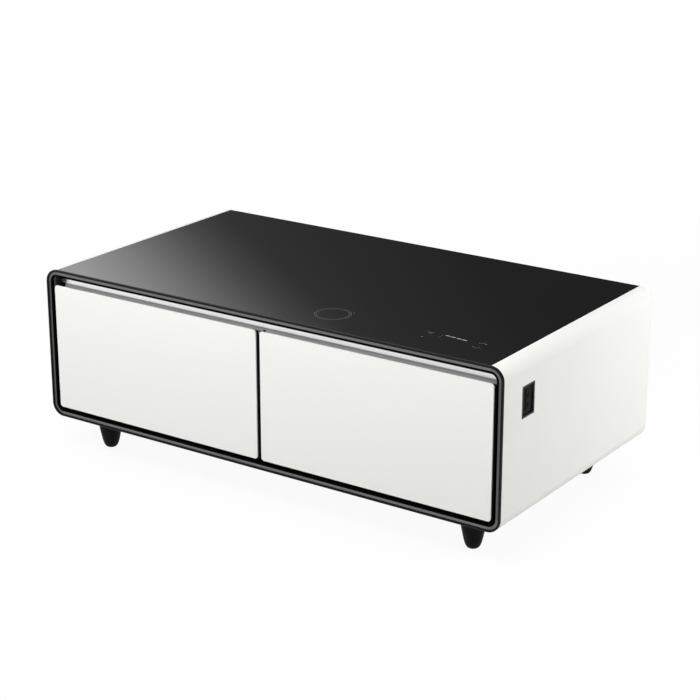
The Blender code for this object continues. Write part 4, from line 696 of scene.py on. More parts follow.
FINISHES = {
    "white enamel": coated("white_enamel", (0.83, 0.836, 0.797), 0.32, 700.0, 0.00002),
    "white glass": polished("white_glass", (0.83, 0.835, 0.805), 0.06, 0.10),
    "black glass": polished("black_glass", (0.004, 0.004, 0.0045), 0.030, 0.05),
    "black frame": coated("black_lacquer_frame", (0.004, 0.004, 0.0045), 0.50, 1200.0, 0.00001,
                          Specular_IOR_Level=0.18),
    # The three satin bands are one metal: the rail band is the lit copy, and the corner band and the darker
    # upright band are painted shade.
    "rail band": brushed("satin_rail_band", (0.18, 0.18, 0.182), 0.36, (8.0, 400.0, 400.0), 0.000004,
                         metallic=0.9),
    "corner band painted shade": brushed("satin_corner_band_painted_shade", (0.145, 0.145, 0.147), 0.36, (60.0, 60.0, 60.0), 0.000004,
                           metallic=0.9),
    "upright band painted shade": brushed("satin_upright_band_painted_shade", (0.11, 0.11, 0.112), 0.36, (400.0, 400.0, 8.0), 0.000004,
                            metallic=0.9),
    "black foot": coated("black_foot", (0.0035, 0.0035, 0.004), 0.55, 900.0, 0.00003,
                         Specular_IOR_Level=0.08),
    "felt": coated("felt_pad", (0.045, 0.043, 0.040), 0.95, 2400.0, 0.0004, Specular_IOR_Level=0.1),
    "black plastic": coated("black_plastic", (0.020, 0.020, 0.021), 0.50, 1400.0, 0.00004),
    "grey plastic": coated("dark_grey_plastic", (0.0045, 0.0045, 0.004), 0.45, 1400.0, 0.00004,
                           Specular_IOR_Level=0.06),
    "port plastic": coated("port_plastic", (0.034, 0.034, 0.033), 0.45, 1400.0, 0.00003,
                           Specular_IOR_Level=0.2),
    "bright channel": brushed("bright_channel", (0.86, 0.86, 0.865), 0.28, (8.0, 900.0, 900.0), 0.000004,
                              metallic=0.9),
    # The channel's lower part: the same metal, painted darker and duller as shade.
    "channel foot painted shade": brushed("channel_foot_painted_shade", (0.30, 0.30, 0.303), 0.48, (8.0, 900.0, 900.0), 0.000004,
                            metallic=0.1),
    "channel cap": coated("channel_cap", (0.020, 0.020, 0.021), 0.55, 1200.0, 0.00003,
                          Specular_IOR_Level=0.2),
    "drawer core": coated("drawer_core_plastic", (0.003, 0.003, 0.0032), 0.65, 1200.0, 0.00003,
                          Specular_IOR_Level=0.06),
    "gasket": coated("soft_gasket", (0.055, 0.055, 0.058), 0.68, 500.0, 0.00006),
    "tub": coated("tub_plastic", (0.76, 0.775, 0.79), 0.30, 600.0, 0.00002),
    "liner": coated("liner_plastic", (0.74, 0.75, 0.76), 0.38, 600.0, 0.00003),
    "screw steel": brushed("screw_steel", (0.66, 0.66, 0.67), 0.30, (300.0, 300.0, 300.0), 0.000004),
    "slide steel": brushed("slide_steel", (0.62, 0.63, 0.65), 0.28, (900.0, 12.0, 900.0), 0.00001),
    "galvanised": brushed("galvanised_steel", (0.58, 0.59, 0.60), 0.42, (30.0, 30.0, 30.0), 0.00001),
    "cold plate": brushed("cold_plate", (0.82, 0.83, 0.84), 0.30, (700.0, 700.0, 9.0), 0.00001),
    "condenser fins": brushed("condenser_fins", (0.13, 0.13, 0.133), 0.50, (700.0, 700.0, 9.0), 0.00001,
                              metallic=0.6),
    "foam": dusty("insulation_foam", (0.72, 0.62, 0.36), 0.92, 260.0, 0.0004, 0.1),
    "copper": brushed("copper_pipe", (0.74, 0.40, 0.26), 0.30, (60.0, 60.0, 60.0), 0.00001),
    "compressor": dusty("compressor_paint", (0.018, 0.018, 0.020), 0.42, 300.0, 0.00005, 0.35),
    "board": dusty("circuit_board", (0.015, 0.16, 0.07), 0.45, 500.0, 0.00003, 0.2),
    "machine plastic": dusty("machine_plastic", (0.030, 0.030, 0.032), 0.50, 900.0, 0.00004, 0.3),
    "faint print": coated("faint_print", (0.030, 0.030, 0.032), 0.30, 1500.0, 0.000002),
    "pale print": coated("pale_print", (0.11, 0.11, 0.115), 0.30, 1500.0, 0.000002),
    # The display's lit bars: their light painted as a bright colour, a painted glow.
    "display painted glow": coated("display_painted_glow", (0.50, 0.50, 0.51), 0.30, 1500.0, 0.000002),
}

NODE_FINISHES = {
    "galvanised": ("base_panel", "top_deck", "compressor_tray", "front_foot_rail", "rear_foot_rail"),
    "white enamel": ("rear_panel", "left_side_shell", "right_side_shell"),
    "black glass": ("top_glass",),
    "black frame": ("front_frame",),
    "drawer core": ("centre_mullion", "left_drawer_core", "right_drawer_core"),
    "black plastic": ("rear_grille", "power_inlet", "control_box"),
    "machine plastic": ("fan_shroud", "fan_motor", "condenser_fan"),
    "compressor": ("compressor",),
    "cold plate": ("left_evaporator", "right_evaporator"),
    "condenser fins": ("condenser",),
    "copper": ("discharge_pipe", "suction_pipe", "evaporator_link_pipe", "filter_drier", "charging_coil"),
    "foam": ("insulation_foam",),
    "board": ("control_board", "touch_board"),
    "port plastic": ("side_port_bezel",),
    "grey plastic": ("side_port_module",),
    "black foot": tuple(FOOT_PLACES),
    "white glass": ("left_drawer_front", "right_drawer_front"),
    "bright channel": ("left_drawer_handle", "right_drawer_handle"),
    "gasket": ("left_drawer_gasket", "right_drawer_gasket"),
    "tub": ("left_drawer_tub", "right_drawer_tub"),
    "liner": ("left_liner", "right_liner"),
    "slide steel": tuple(name for name in NODES if name.endswith("_member")),
}
FINISH_OF = {name: finish for finish, names in NODE_FINISHES.items() for name in names}

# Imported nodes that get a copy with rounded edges: ending of its name, radius
ROUNDED_NODES = (
    ("top_deck", "sheet", 0.0003),
    ("compressor_tray", "pressing", 0.0004),
    ("front_foot_rail", "bar", 0.0008),
    ("rear_foot_rail", "bar", 0.0008),
    ("left_liner", "moulding", 0.0006),
    ("right_liner", "moulding", 0.0006),
    ("centre_mullion", "cover", 0.0010),
    ("control_box", "housing", 0.0006),
    ("fan_shroud", "moulding", 0.0005),
    ("fan_motor", "body", 0.0005),
    ("condenser_fan", "moulding", 0.0003),
    ("compressor", "shell", 0.0010),
    ("condenser", "block", 0.0002),
    ("filter_drier", "tube", 0.0005),
    ("touch_board", "block", 0.0005),
    ("left_evaporator", "plate", 0.0006),
    ("right_evaporator", "plate", 0.0006),
)


# Finishing and placing
def finish_piece(piece, finish):
    """Gives a new piece one finish, and keeps its flat faces flat beside its rounds."""
    apply_modifier(piece, "WEIGHTED_NORMAL", mode="FACE_AREA", weight=50, keep_sharp=True)
    piece.data.materials.clear()
    piece.data.materials.append(FINISHES[finish])
    return piece


def finish_faces(piece, finish, wanted):
    """Gives a second finish to the faces of a piece whose middle and normal are wanted."""
    piece.data.materials.append(FINISHES[finish])
    number = len(piece.data.materials) - 1
    for face in piece.data.polygons:
        if wanted(face.center, face.normal):
            face.material_index = number
    return piece


def stand_in(piece, finish, body, *nodes):
    """Rides a piece on a body, and lets it stand for the nodes that it replaces."""
    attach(piece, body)
    if nodes:
        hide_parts(*nodes)
    return piece


def fit(piece, finish, body, *nodes):
    """Finishes a piece and stands it in its place."""
    return stand_in(finish_piece(piece, finish), finish, body, *nodes)


def fit_both_drawers(left, finish, ending, node):
    """Finishes a piece of the left drawer, and stands it and its copy in both drawers."""
    finish_piece(left, finish)
    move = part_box(f"right_{node}")[0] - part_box(f"left_{node}")[0]
    right = duplicate(left, f"right_{ending}", move)
    stand_in(left, finish, "left_drawer", f"left_{node}")
    stand_in(right, finish, "right_drawer", f"right_{node}")


def finish_nodes():
    """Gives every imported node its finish."""
    for name, finish in FINISH_OF.items():
        for slot in NODES[name].material_slots:
            slot.material = FINISHES[finish]


# Cabinet skin
def make_side_panel(label):
    """Sheet side panel with round shoulders, a ledge under the glass and a flange below."""
    side = SIDES[label]
    inner = side * (BODY_RIGHT - SHOULDER_RADIUS - LEDGE_WIDTH)
    outer = side * BODY_RIGHT
    panel = add_block(
        f"{label}_side_panel",
        (min(inner, outer), SHELL_FRONT, BODY_BOTTOM),
        (max(inner, outer), SHELL_BACK, BODY_TOP),
    )
    edit(panel)
    pick_faces(panel, lambda middle, normal: abs(normal.y) > FACING or normal.x * side < -FACING)
    bpy.ops.mesh.delete(type="FACE")
    pick_edges(panel, lambda a, b: along(1)(a, b) and at(0, outer)(a, b))
    bevel(SHOULDER_RADIUS, SHOULDER_STEPS)
    step = side * (BODY_RIGHT - SHOULDER_RADIUS)
    push_edges(
        panel,
        lambda a, b: at(0, inner)(a, b) and at(2, BODY_TOP)(a, b),
        (step - inner, 0, LEDGE_TOP - BODY_TOP),
    )
    bpy.ops.mesh.extrude_edges_move(TRANSFORM_OT_translate={"value": (inner - step, 0, 0)})
    close(panel)
    apply_modifier(panel, "SOLIDIFY", thickness=SHEET, offset=-1, use_even_offset=True)
    if label == "right":
        cut(panel, make_port_tool(PORT_WIDTH, PORT_HEIGHT, BODY_RIGHT - SPARE, BODY_RIGHT + SPARE))
    fit(shade(panel), "white enamel", "cabinet", f"{label}_side_shell")


def make_port_tool(width, height, low, high):
    """A block with round corners through the side panel, as large as the port."""
    tool = add_block(
        "port_tool",
        (low, PORT_Y - width / 2, PORT_Z - height / 2),
        (high, PORT_Y + width / 2, PORT_Z + height / 2),
    )
    return round_off(tool, (along(0), PORT_CORNER, 6))


def make_glass_top():
    """Black pane with polished edges between the two shoulders."""
    low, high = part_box("top_glass")
    pane = add_block("glass_top_pane", (low.x, SHELL_FRONT, low.z), (high.x, high.y, high.z - MARK_HEIGHT))
    fit(round_off(pane, (every_edge, GLASS_EDGE, 3)), "black glass", "cabinet", "top_glass")


def mark_bar(name, place, length, width, degrees=0):
    """A bar with round ends on the glass, printed, or for the display a lit bar with painted glow, turned
    about the vertical.
    """
    bottom = BODY_TOP - MARK_HEIGHT - MARK_SINK
    bar = add_block(name, (-length / 2, -width / 2, bottom), (length / 2, width / 2, BODY_TOP))
    round_off(bar, (along(2), width * ROUND_END, 5))
    bar.rotation_euler = (0, 0, math.radians(degrees))
    bar.location = (*place, 0)
    return settle(bar)


def mark_chevron(name, place, side):
    """Two printed bars that meet at a point, towards the back or the front."""
    x, y = place
    arms = [
        mark_bar(
            name,
            (x + turn * CHEVRON_SIZE * CHEVRON_SPREAD, y),
            CHEVRON_SIZE * CHEVRON_ARM,
            CHEVRON_WIDTH,
            -side * turn * CHEVRON_DEGREES,
        )
        for turn in (-1, 1)
    ]
    return join_pieces(*arms)


def make_glass_marks():
    """Ring of the wireless charger, touch symbols and the four lit bars of the display, whose light is
    painted as a bright colour.
    """
    start_fresh()
    bpy.ops.mesh.primitive_torus_add(
        location=(*CHARGER_PLACE, BODY_TOP - MARK_HEIGHT / 2),
        major_radius=CHARGER_RING,
        minor_radius=CHARGER_LINE,
        major_segments=96,
        minor_segments=8,
    )
    bpy.context.object.scale = (1, 1, MARK_HEIGHT / (2 * CHARGER_LINE))
    ring = close(edit(named("charger_ring")))
    inner = edit(duplicate(ring, "charger_inner_ring"))
    bpy.ops.mesh.select_all(action="SELECT")
    share = CHARGER_INNER_RING
    bpy.ops.transform.resize(value=(share, share, 1), center_override=(*CHARGER_PLACE, BODY_TOP))
    close(inner)
    join_pieces(ring, inner, mark_bar("charger_tick", *CHARGER_TICK))
    fit(ring, "faint print", "cabinet")
    # The display bars' light is painted as a bright colour: a painted glow.
    display = join_pieces(*(mark_bar("display_bars", *bar) for bar in DISPLAY_BARS))
    fit(display, "display painted glow", "cabinet")
    symbols = [mark_bar("touch_symbols", *bar) for bar in TOUCH_BARS]
    symbols += [mark_chevron("touch_chevron", *chevron) for chevron in CHEVRONS]
    fit(join_pieces(*symbols), "pale print", "cabinet")


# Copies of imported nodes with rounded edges
def copy_node(name, node):
    """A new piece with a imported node's shape, its loose triangles merged into whole faces."""
    start_fresh()
    mesh = NODES[node].data.copy()
    mesh.name = name
    mesh.materials.clear()
    piece = bpy.data.objects.new(name, mesh)
    bpy.context.scene.collection.objects.link(piece)
    edit(piece)
    bpy.ops.mesh.customdata_custom_splitnormals_clear()
    bpy.ops.mesh.select_all(action="SELECT")
    bpy.ops.mesh.remove_doubles(threshold=MERGE)
    bpy.ops.mesh.dissolve_limited(angle_limit=math.radians(0.5))
    return close(piece)


def round_edges(piece, radius, steps=2):
    """Rounds all the sharp edges of a piece."""
    limit = math.radians(SMOOTH_DEGREES)
    return apply_modifier(
        piece, "BEVEL", width=radius, segments=steps, limit_method="ANGLE", angle_limit=limit
    )


def make_rounded_copy(node, ending, radius):
    """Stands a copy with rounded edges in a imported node's place."""
    piece = round_edges(copy_node(f"{node}_{ending}", node), radius)
    fit(shade(piece, SMOOTH_SOFT_DEGREES), FINISH_OF[node], BODIES[node], node)


def make_base_panel():
    """Base sheet that reaches up to the slim frame."""
    panel = edit(copy_node("base_panel_sheet", "base_panel"))
    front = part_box("base_panel")[0].y
    push_edges(panel, at(1, front), (0, SHELL_FRONT - front, 0))
    round_edges(close(panel), SHEET_EDGE)
    fit(shade(panel, SMOOTH_SOFT_DEGREES), "galvanised", "cabinet", "base_panel")


# Back of the cabinet
def make_panel_screws(places):
    """Pan-head screws with a cross recess, modelled once and copied to their places."""
    profile = [(SCREW_RADIUS * across, SCREW_HEIGHT * up) for across, up in SCREW_PROFILE]
    first = turned("rear_panel_screws", profile, (0, 0, 0), sides=24)
    arm, blade = (SCREW_RADIUS * share for share in SCREW_RECESS)
    floor = SCREW_HEIGHT * SCREW_RECESS_FLOOR
    for reach in ((arm, blade), (blade, arm)):
        cut(first, add_block("recess_tool", (-reach[0], -reach[1], floor), (*reach, SCREW_HEIGHT * 2)))
    first.rotation_euler = AXIS_TURNS["Y"]
    settle(first)
    copies = [duplicate(first, "screw", place) for place in places]
    bpy.data.objects.remove(first, do_unlink=True)
    screws = join_pieces(*copies)
    screws.name = "rear_panel_screws"
    screws.data.name = "rear_panel_screws"
    fit(close(edit(screws), SMOOTH_FINE_DEGREES), "screw steel", "cabinet")


def make_rear_panel():
    """Sheet panel with pressed beads, and dimples that hold its screw heads flush."""
    panel = round_edges(copy_node("rear_panel_sheet", "rear_panel"), SHEET_EDGE)
    floor = BODY_BACK - DIMPLE_DEPTH
    places = [(x, floor, z) for x, z in PANEL_SCREWS + PANEL_SIDE_SCREWS + GRILLE_SCREWS]
    dimple = [(DIMPLE_FLOOR_RADIUS, 0), (DIMPLE_RADIUS, DIMPLE_DEPTH), (DIMPLE_RADIUS, SPARE)]
    cut(panel, join_pieces(*(turned("dimple", dimple, place, "Y", 24) for place in places)))
    beads = []
    for left, bottom, right, top in PANEL_BEADS:
        bead = add_block("bead", (left, BEAD_FLOOR, bottom), (right, BODY_BACK + SPARE, top))
        rounds = ((along(1), BEAD_CORNER, 8), (at(1, BEAD_FLOOR), BEAD_FOOT_ROUND, 3))
        beads.append(round_off(bead, *rounds))
    cut(panel, join_pieces(*beads))
    fit(shade(panel, SMOOTH_FINE_DEGREES), "white enamel", "cabinet", "rear_panel")
    make_panel_screws(places)


def make_rear_grille():
    """Louvred sheet: slots with round ends, each with a blade that slopes inwards from its top."""
    low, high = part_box("rear_grille")
    margin = GRILLE_MARGIN
    grille = edit(copy_node("rear_grille_louvres", "rear_grille"))

    def is_slot(point):
        return low.x + margin < point.x < high.x - margin and low.z + margin < point.z < high.z - margin

    pick_edges(grille, lambda a, b: along(1)(a, b) and is_slot(a) and is_slot(b))
    bevel(SLOT_ROUND, 5)
    pick_faces(grille, lambda middle, normal: normal.z < -0.99 and is_slot(middle))
    bpy.ops.mesh.extrude_region_move(TRANSFORM_OT_translate={"value": LOUVRE_REACH})
    fit(close(grille, SMOOTH_FINE_DEGREES), "black plastic", "cabinet", "rear_grille")


def make_power_inlet():
    """Mains inlet with softened edges, and its three pins."""
    make_rounded_copy("power_inlet", "housing", 0.0005)
    x, z = INLET_PLACE
    pins = []
    for across, up in INLET_PINS:
        pin = add_block(
            "inlet_pins",
            (x + across - PIN_HALF_WIDTH, PIN_ROOT, z + up - PIN_HALF_HEIGHT),
            (x + across + PIN_HALF_WIDTH, PIN_TIP, z + up + PIN_HALF_HEIGHT),
        )
        pins.append(round_off(pin, (at(1, PIN_TIP), PIN_TIP_ROUND, 3)))
    fit(join_pieces(*pins), "screw steel", "cabinet")


# Inside of the drawers
def tub_solid(name, low, high, corner, foot):
    """A block with round corners and a round foot, the outside or the inside of a tub."""
    return round_off(add_block(name, low, high), (along(2), corner, 12), (at(2, low[2]), foot, 6))


def make_tub():
    """Moulded tub of the left drawer: round corners, a rim on three sides and grooves in its floor."""
    low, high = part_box("left_drawer_tub")
    floor = low.z + TUB_WALL
    tub = tub_solid(
        "left_tub_moulding",
        (low.x + TUB_RIM, low.y, low.z),
        (high.x - TUB_RIM, high.y - TUB_RIM, high.z),
        TUB_CORNER,
        TUB_FOOT_ROUND,
    )
    rim = add_block("rim", (low.x, low.y, high.z - TUB_WALL), high)
    round_off(rim, (along(2), TUB_CORNER + TUB_RIM, 12))
    combine(tub, "UNION", rim)
    bpy.data.objects.remove(rim, do_unlink=True)
    inset = TUB_RIM + TUB_WALL
    inside = tub_solid(
        "inside",
        (low.x + inset, low.y + TUB_WALL, floor),
        (high.x - inset, high.y - inset, high.z + SPARE),
        TUB_CORNER - TUB_WALL,
        TUB_FOOT_ROUND - TUB_WALL,
    )
    cut(tub, inside)
    start = low.x + TUB_GROOVE_SIDE
    pitch = (high.x - low.x - 2 * TUB_GROOVE_SIDE) / (TUB_GROOVES - 1)
    half = TUB_GROOVE_WIDTH / 2
    grooves = []
    for number in range(TUB_GROOVES):
        x = start + number * pitch
        groove = add_block(
            "groove",
            (x - half, low.y + TUB_GROOVE_END, floor - TUB_GROOVE_DEPTH),
            (x + half, high.y - TUB_GROOVE_END, floor + SPARE),
        )
        grooves.append(round_off(groove, (along(2), TUB_GROOVE_WIDTH * ROUND_END, 6)))
    cut(tub, join_pieces(*grooves))
    return shade(round_edges(tub, TUB_EDGE))


def rounded_plate(name, low, high, corner, corner_steps):
    """A plate in the X-Z plane with round corners."""
    return round_off(add_block(name, low, high), (along(1), corner, corner_steps))


def rounded_ring(name, low, high, outer, inner, front, back):
    """A rectangular ring in the X-Z plane between two insets, with round corners."""
    plates = [
        rounded_plate(
            name,
            (low.x + inset, start, low.z + inset),
            (high.x - inset, end, high.z - inset),
            max(GASKET_CORNER - inset, GASKET_INNER_CORNER),
            6,
        )
        for inset, start, end in ((outer, front, back), (inner, front - SPARE, back + SPARE))
    ]
    return cut(*plates)


def make_gasket():
    """Soft gasket with two folds round the back of the left drawer's core."""
    low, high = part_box("left_drawer_gasket")
    gasket = rounded_ring("left_gasket_folds", low, high, 0, GASKET_WIDTH, low.y, high.y)
    for outer, inner in GASKET_FOLDS:
        cut(gasket, rounded_ring("fold", low, high, outer, inner, high.y - GASKET_FOLD_DEPTH, high.y + SPARE))
    return shade(round_edges(gasket, GASKET_EDGE, 3), SMOOTH_SOFT_DEGREES)


def make_drawer_core(label):
    """Insulated core: dark towards the front and pale like the tub towards the inside."""
    node = f"{label}_drawer_core"
    core = shade(round_edges(copy_node(f"{label}_core_shell", node), CORE_EDGE, 3))
    fit(core, "drawer core", f"{label}_drawer", node)
    finish_faces(core, "liner", lambda middle, normal: normal.y > 0.5)


def make_slide_member(node):
    """Rolled steel member of a slide with soft bends and round holes in its web."""
    low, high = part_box(node)
    channel = round_edges(copy_node(f"{node}_rolled", node), SLIDE_EDGE)
    start = (low.x + high.x) / 2 - SLIDE_HOLE_REACH
    drill = [(SLIDE_HOLE_RADIUS, 0), (SLIDE_HOLE_RADIUS, 2 * SLIDE_HOLE_REACH)]
    holes = [turned("hole", drill, (start, y, SLIDE_MIDDLE), "X", 20) for y in SLIDE_HOLES]
    cut(channel, join_pieces(*holes))
    fit(shade(channel), "slide steel", BODIES[node], node)


# Front frame
def inset_from_body(point):
    """How far a point lies inside the body's rounded outline, seen from the front."""
    across = BODY_RIGHT - abs(point[0])
    up = min(point[2] - BODY_BOTTOM, BODY_TOP - point[2])
    if across < SHOULDER_RADIUS and up < SHOULDER_RADIUS:
        return SHOULDER_RADIUS - math.hypot(SHOULDER_RADIUS - across, SHOULDER_RADIUS - up)
    return min(across, up)


def frame_profile():
    """Points of (inset, depth behind the front) over the frame's face, from outside inwards."""
    outer = FRAME_OUTER_ROUND
    inner = FRAME_INNER_ROUND
    edge = FRAME_LIP_ROUND
    band = FRAME_BAND_SETBACK
    turns = [math.pi / 2 * step / ROUND_STEPS for step in range(ROUND_STEPS + 1)]
    points = [(outer * (1 - math.cos(turn)), outer * (1 - math.sin(turn))) for turn in turns]
    start = FRAME_LIP_INSET - edge
    points += [(start + edge * math.sin(turn), edge * (1 - math.cos(turn))) for turn in turns]
    points.append((FRAME_BAND_INSET, band))
    start = FRAME_FACE - inner
    points += [(start + inner * math.sin(turn), band + inner * (1 - math.cos(turn))) for turn in turns]
    return points


def make_front_frame():
    """Black bar round the drawers with a satin band on its face, and the sleeve behind it. The band on the
    uprights and near the corners gets darker copies of its metal: painted shade.
    """
    points = frame_profile()
    low = (BODY_LEFT, BODY_FRONT + points[0][1], BODY_BOTTOM)
    bar = edit(add_block("front_frame_bar", low, (BODY_RIGHT, FRAME_BACK, BODY_TOP)))
    pick_edges(bar, along(1))
    bevel(SHOULDER_RADIUS, SHOULDER_STEPS)
    pick_faces(bar, lambda middle, normal: normal.y < -FACING)
    for (inset, depth), (next_inset, next_depth) in zip(points, points[1:]):
        bpy.ops.mesh.inset(thickness=next_inset - inset, depth=depth - next_depth)
    bpy.ops.mesh.delete(type="FACE")
    pick_faces(bar, lambda middle, normal: normal.y > FACING)
    bpy.ops.mesh.inset(thickness=FRAME_FACE - SLEEVE_WALL)
    bpy.ops.mesh.extrude_region_move(TRANSFORM_OT_translate={"value": (0, SLEEVE_BACK - FRAME_BACK, 0)})
    bpy.ops.mesh.inset(thickness=SLEEVE_WALL)
    bpy.ops.mesh.delete(type="FACE")
    bpy.ops.mesh.select_mode(type="EDGE")
    bpy.ops.mesh.select_non_manifold()
    bpy.ops.mesh.bridge_edge_loops()
    fit(close(bar), "black frame", "cabinet", "front_frame")
    middle_height = (BODY_TOP + BODY_BOTTOM) / 2

    def on_band(middle, normal):
        return normal.y < -0.7 and FRAME_BAND_INSET < inset_from_body(middle) < FRAME_BAND_END

    # Band faces on the uprights, and near the corners, get darker copies of the same metal: painted shade.
    def on_upright_painted_shade(middle, normal):
        return on_band(middle, normal) and abs(middle[0]) > BODY_RIGHT - SHOULDER_RADIUS

    def on_corner_painted_shade(middle, normal):
        up = abs(middle[2] - middle_height)
        return on_upright_painted_shade(middle, normal) and up > BODY_TOP - middle_height - SHOULDER_RADIUS

    finish_faces(bar, "rail band", on_band)
    finish_faces(bar, "upright band painted shade", on_upright_painted_shade)
    finish_faces(bar, "corner band painted shade", on_corner_painted_shade)


# Drawer fronts and finger channels
def make_drawer_front(label):
    """White glass front with a polished edge."""
    node = f"{label}_drawer_front"
    low, high = (list(corner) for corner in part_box(node))
    if label == "left":
        low[0] += FRONT_OUTER_TRIM
        high[0] -= FRONT_INNER_TRIM
    else:
        low[0] += FRONT_INNER_TRIM
    glass = round_off(
        add_block(f"{label}_front_glass", low, high),
        (along(1), FRONT_CORNER, 10),
        (lambda a, b: at(1, low[1])(a, b) or at(1, high[1])(a, b), FRONT_EDGE, 3),
    )
    fit(glass, "white glass", f"{label}_drawer", node)


def bend_channel(name, low_x, high_x, top):
    """The channel's sheet: lip, floor and a back wall that leans away, with rounded bends."""
    channel = edit(add_block(name, (low_x, CHANNEL_LIP, CHANNEL_FLOOR), (high_x, CHANNEL_WALL, top)))
    wall_foot = CHANNEL_WALL - (CHANNEL_TOP - CHANNEL_FLOOR) * CHANNEL_LEAN

    def corner(y, z):
        return lambda a, b: at(1, y)(a, b) and at(2, z)(a, b)

    pick_faces(channel, lambda middle, normal: abs(normal.x) > FACING or normal.z > FACING)
    bpy.ops.mesh.delete(type="FACE")
    push_edges(channel, corner(CHANNEL_LIP, top), (0, 0, CHANNEL_LIP_TOP - top))
    push_edges(channel, corner(CHANNEL_WALL, top), (0, (top - CHANNEL_TOP) * CHANNEL_LEAN, 0))
    push_edges(channel, corner(CHANNEL_WALL, CHANNEL_FLOOR), (0, wall_foot - CHANNEL_WALL, 0))
    pick_edges(channel, corner(CHANNEL_LIP, CHANNEL_FLOOR))
    bevel(CHANNEL_FRONT_FILLET, 8)
    pick_edges(channel, corner(wall_foot, CHANNEL_FLOOR))
    bevel(CHANNEL_REAR_FILLET, 16)
    close(channel)
    return apply_modifier(channel, "SOLIDIFY", thickness=CHANNEL_METAL, offset=-1, use_even_offset=True)


def make_channel_cap(start, outline, *sheets):
    """Dark end of the left channel, and the sheets cut to its face."""
    low = Vector((start, CHANNEL_LIP - CHANNEL_METAL, CHANNEL_FLOOR - CHANNEL_METAL))
    high = Vector((start + CHANNEL_CAP, CHANNEL_WALL + CHANNEL_METAL, CHANNEL_TOP))
    cap = combine(add_block("channel_end_cap", low, high), "INTERSECT", outline)
    fit(cap, "channel cap", "left_drawer")
    for sheet in sheets:
        cut(sheet, add_block("end_tool", low - Vector((SPARE,) * 3), high + Vector((0, SPARE, SPARE))))


def make_finger_channel(label):
    """Bright metal channel along the top of a drawer inside a dark rim; the two nearly meet. Below
    CHANNEL_SHADE_TOP the channel is a darker, duller copy of its metal, painted shade.
    """
    low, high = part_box(f"{label}_drawer_core")
    body = f"{label}_drawer"
    low_x = low.x
    high_x = high.x
    strip_low = low_x - STRIP_SPARE
    strip_high = STRIP_END
    if label == "left":
        high_x += CHANNEL_REACH
        strip_high = high_x + STRIP_SPARE
    else:
        low_x -= CHANNEL_REACH
    front = low.y - SPARE
    outline = rounded_plate(
        "channel_outline", (low_x, front, low.z), (high_x, high.y, high.z), CORE_CORNER, 16
    )
    strip = rounded_plate(
        "strip_outline", (strip_low, front, low.z), (strip_high, high.y, STRIP_TOP), STRIP_CORNER, 16
    )
    channel = bend_channel(f"{label}_finger_channel", low_x - SPARE, high_x + SPARE, high.z + SPARE)
    combine(channel, "INTERSECT", outline)
    rim = duplicate(channel, f"{label}_channel_rim")
    combine(rim, "DIFFERENCE", strip)
    combine(channel, "INTERSECT", strip)
    if label == "left":
        make_channel_cap(low.x, outline, channel, rim)
    else:
        notch = add_block(
            "notch_tool", (low_x - SPARE, front, CHANNEL_FLOOR - SPARE), (NOTCH_END, NOTCH_BACK, NOTCH_TOP)
        )
        cut(channel, notch)
    bpy.data.objects.remove(outline, do_unlink=True)
    bpy.data.objects.remove(strip, do_unlink=True)
    edit(channel)
    for place, normal in (((0, 0, CHANNEL_SHADE_TOP), (0, 0, 1)), ((CHANNEL_FOOT_START, 0, 0), (1, 0, 0))):
        bpy.ops.mesh.select_all(action="SELECT")
        bpy.ops.mesh.bisect(plane_co=place, plane_no=normal)

    # The channel's lower part gets a darker, duller copy of its metal: painted shade.
    def on_foot_painted_shade(middle, normal):
        return middle.z < CHANNEL_SHADE_TOP

    # The lip, and the channel's lower part left of CHANNEL_FOOT_START, get the core's black.
    def on_dark(middle, normal):
        return middle.y < CHANNEL_LIP_BACK or (on_foot_painted_shade(middle, normal) and middle.x < CHANNEL_FOOT_START)

    fit(close(channel, SMOOTH_CHANNEL_DEGREES), "bright channel", body, f"{label}_drawer_handle")
    finish_faces(channel, "channel foot painted shade", on_foot_painted_shade)
    finish_faces(channel, "drawer core", on_dark)
    fit(close(edit(rim), SMOOTH_CHANNEL_DEGREES), "drawer core", body)


# Feet
def make_feet():
    """Four turned feet, each with a stud under the cabinet and a soft glide on the floor."""
    profile = smooth_profile(FOOT_PROFILE, FOOT_FINE_STEPS)
    stud = [(STUD_RADIUS, profile[-1][1]), (STUD_RADIUS, STUD_TOP)]
    names = list(FOOT_PLACES)
    start = Vector((*FOOT_PLACES[names[0]], 0))
    feet = [turned(f"{names[0]}_turned", profile + stud, start)]
    pads = [turned(f"{names[0]}_pad", PAD_PROFILE, start, sides=32)]
    for name in names[1:]:
        move = Vector((*FOOT_PLACES[name], 0)) - start
        feet.append(duplicate(feet[0], f"{name}_turned", move))
        pads.append(duplicate(pads[0], f"{name}_pad", move))
    for name, foot, pad in zip(names, feet, pads):
        fit(foot, "black foot", "cabinet", name)
        fit(pad, "felt", "cabinet")


# Side port
def make_port_bezel():
    """Bezel flush in the side panel, with a rounded edge round its window."""
    bezel = make_port_tool(PORT_WIDTH, PORT_HEIGHT, PORT_BEZEL_BACK, BODY_RIGHT)
    bezel.name = "port_bezel_frame"
    round_off(bezel, (at(0, BODY_RIGHT), PORT_BEZEL_EDGE, 3))
    width = PORT_WIDTH - 2 * PORT_BORDER
    height = PORT_HEIGHT - 2 * PORT_BORDER
    cut(bezel, make_port_tool(width, height, BODY_RIGHT - SPARE, BODY_RIGHT + SPARE))
    fit(bezel, "port plastic", "cabinet", "side_port_bezel")


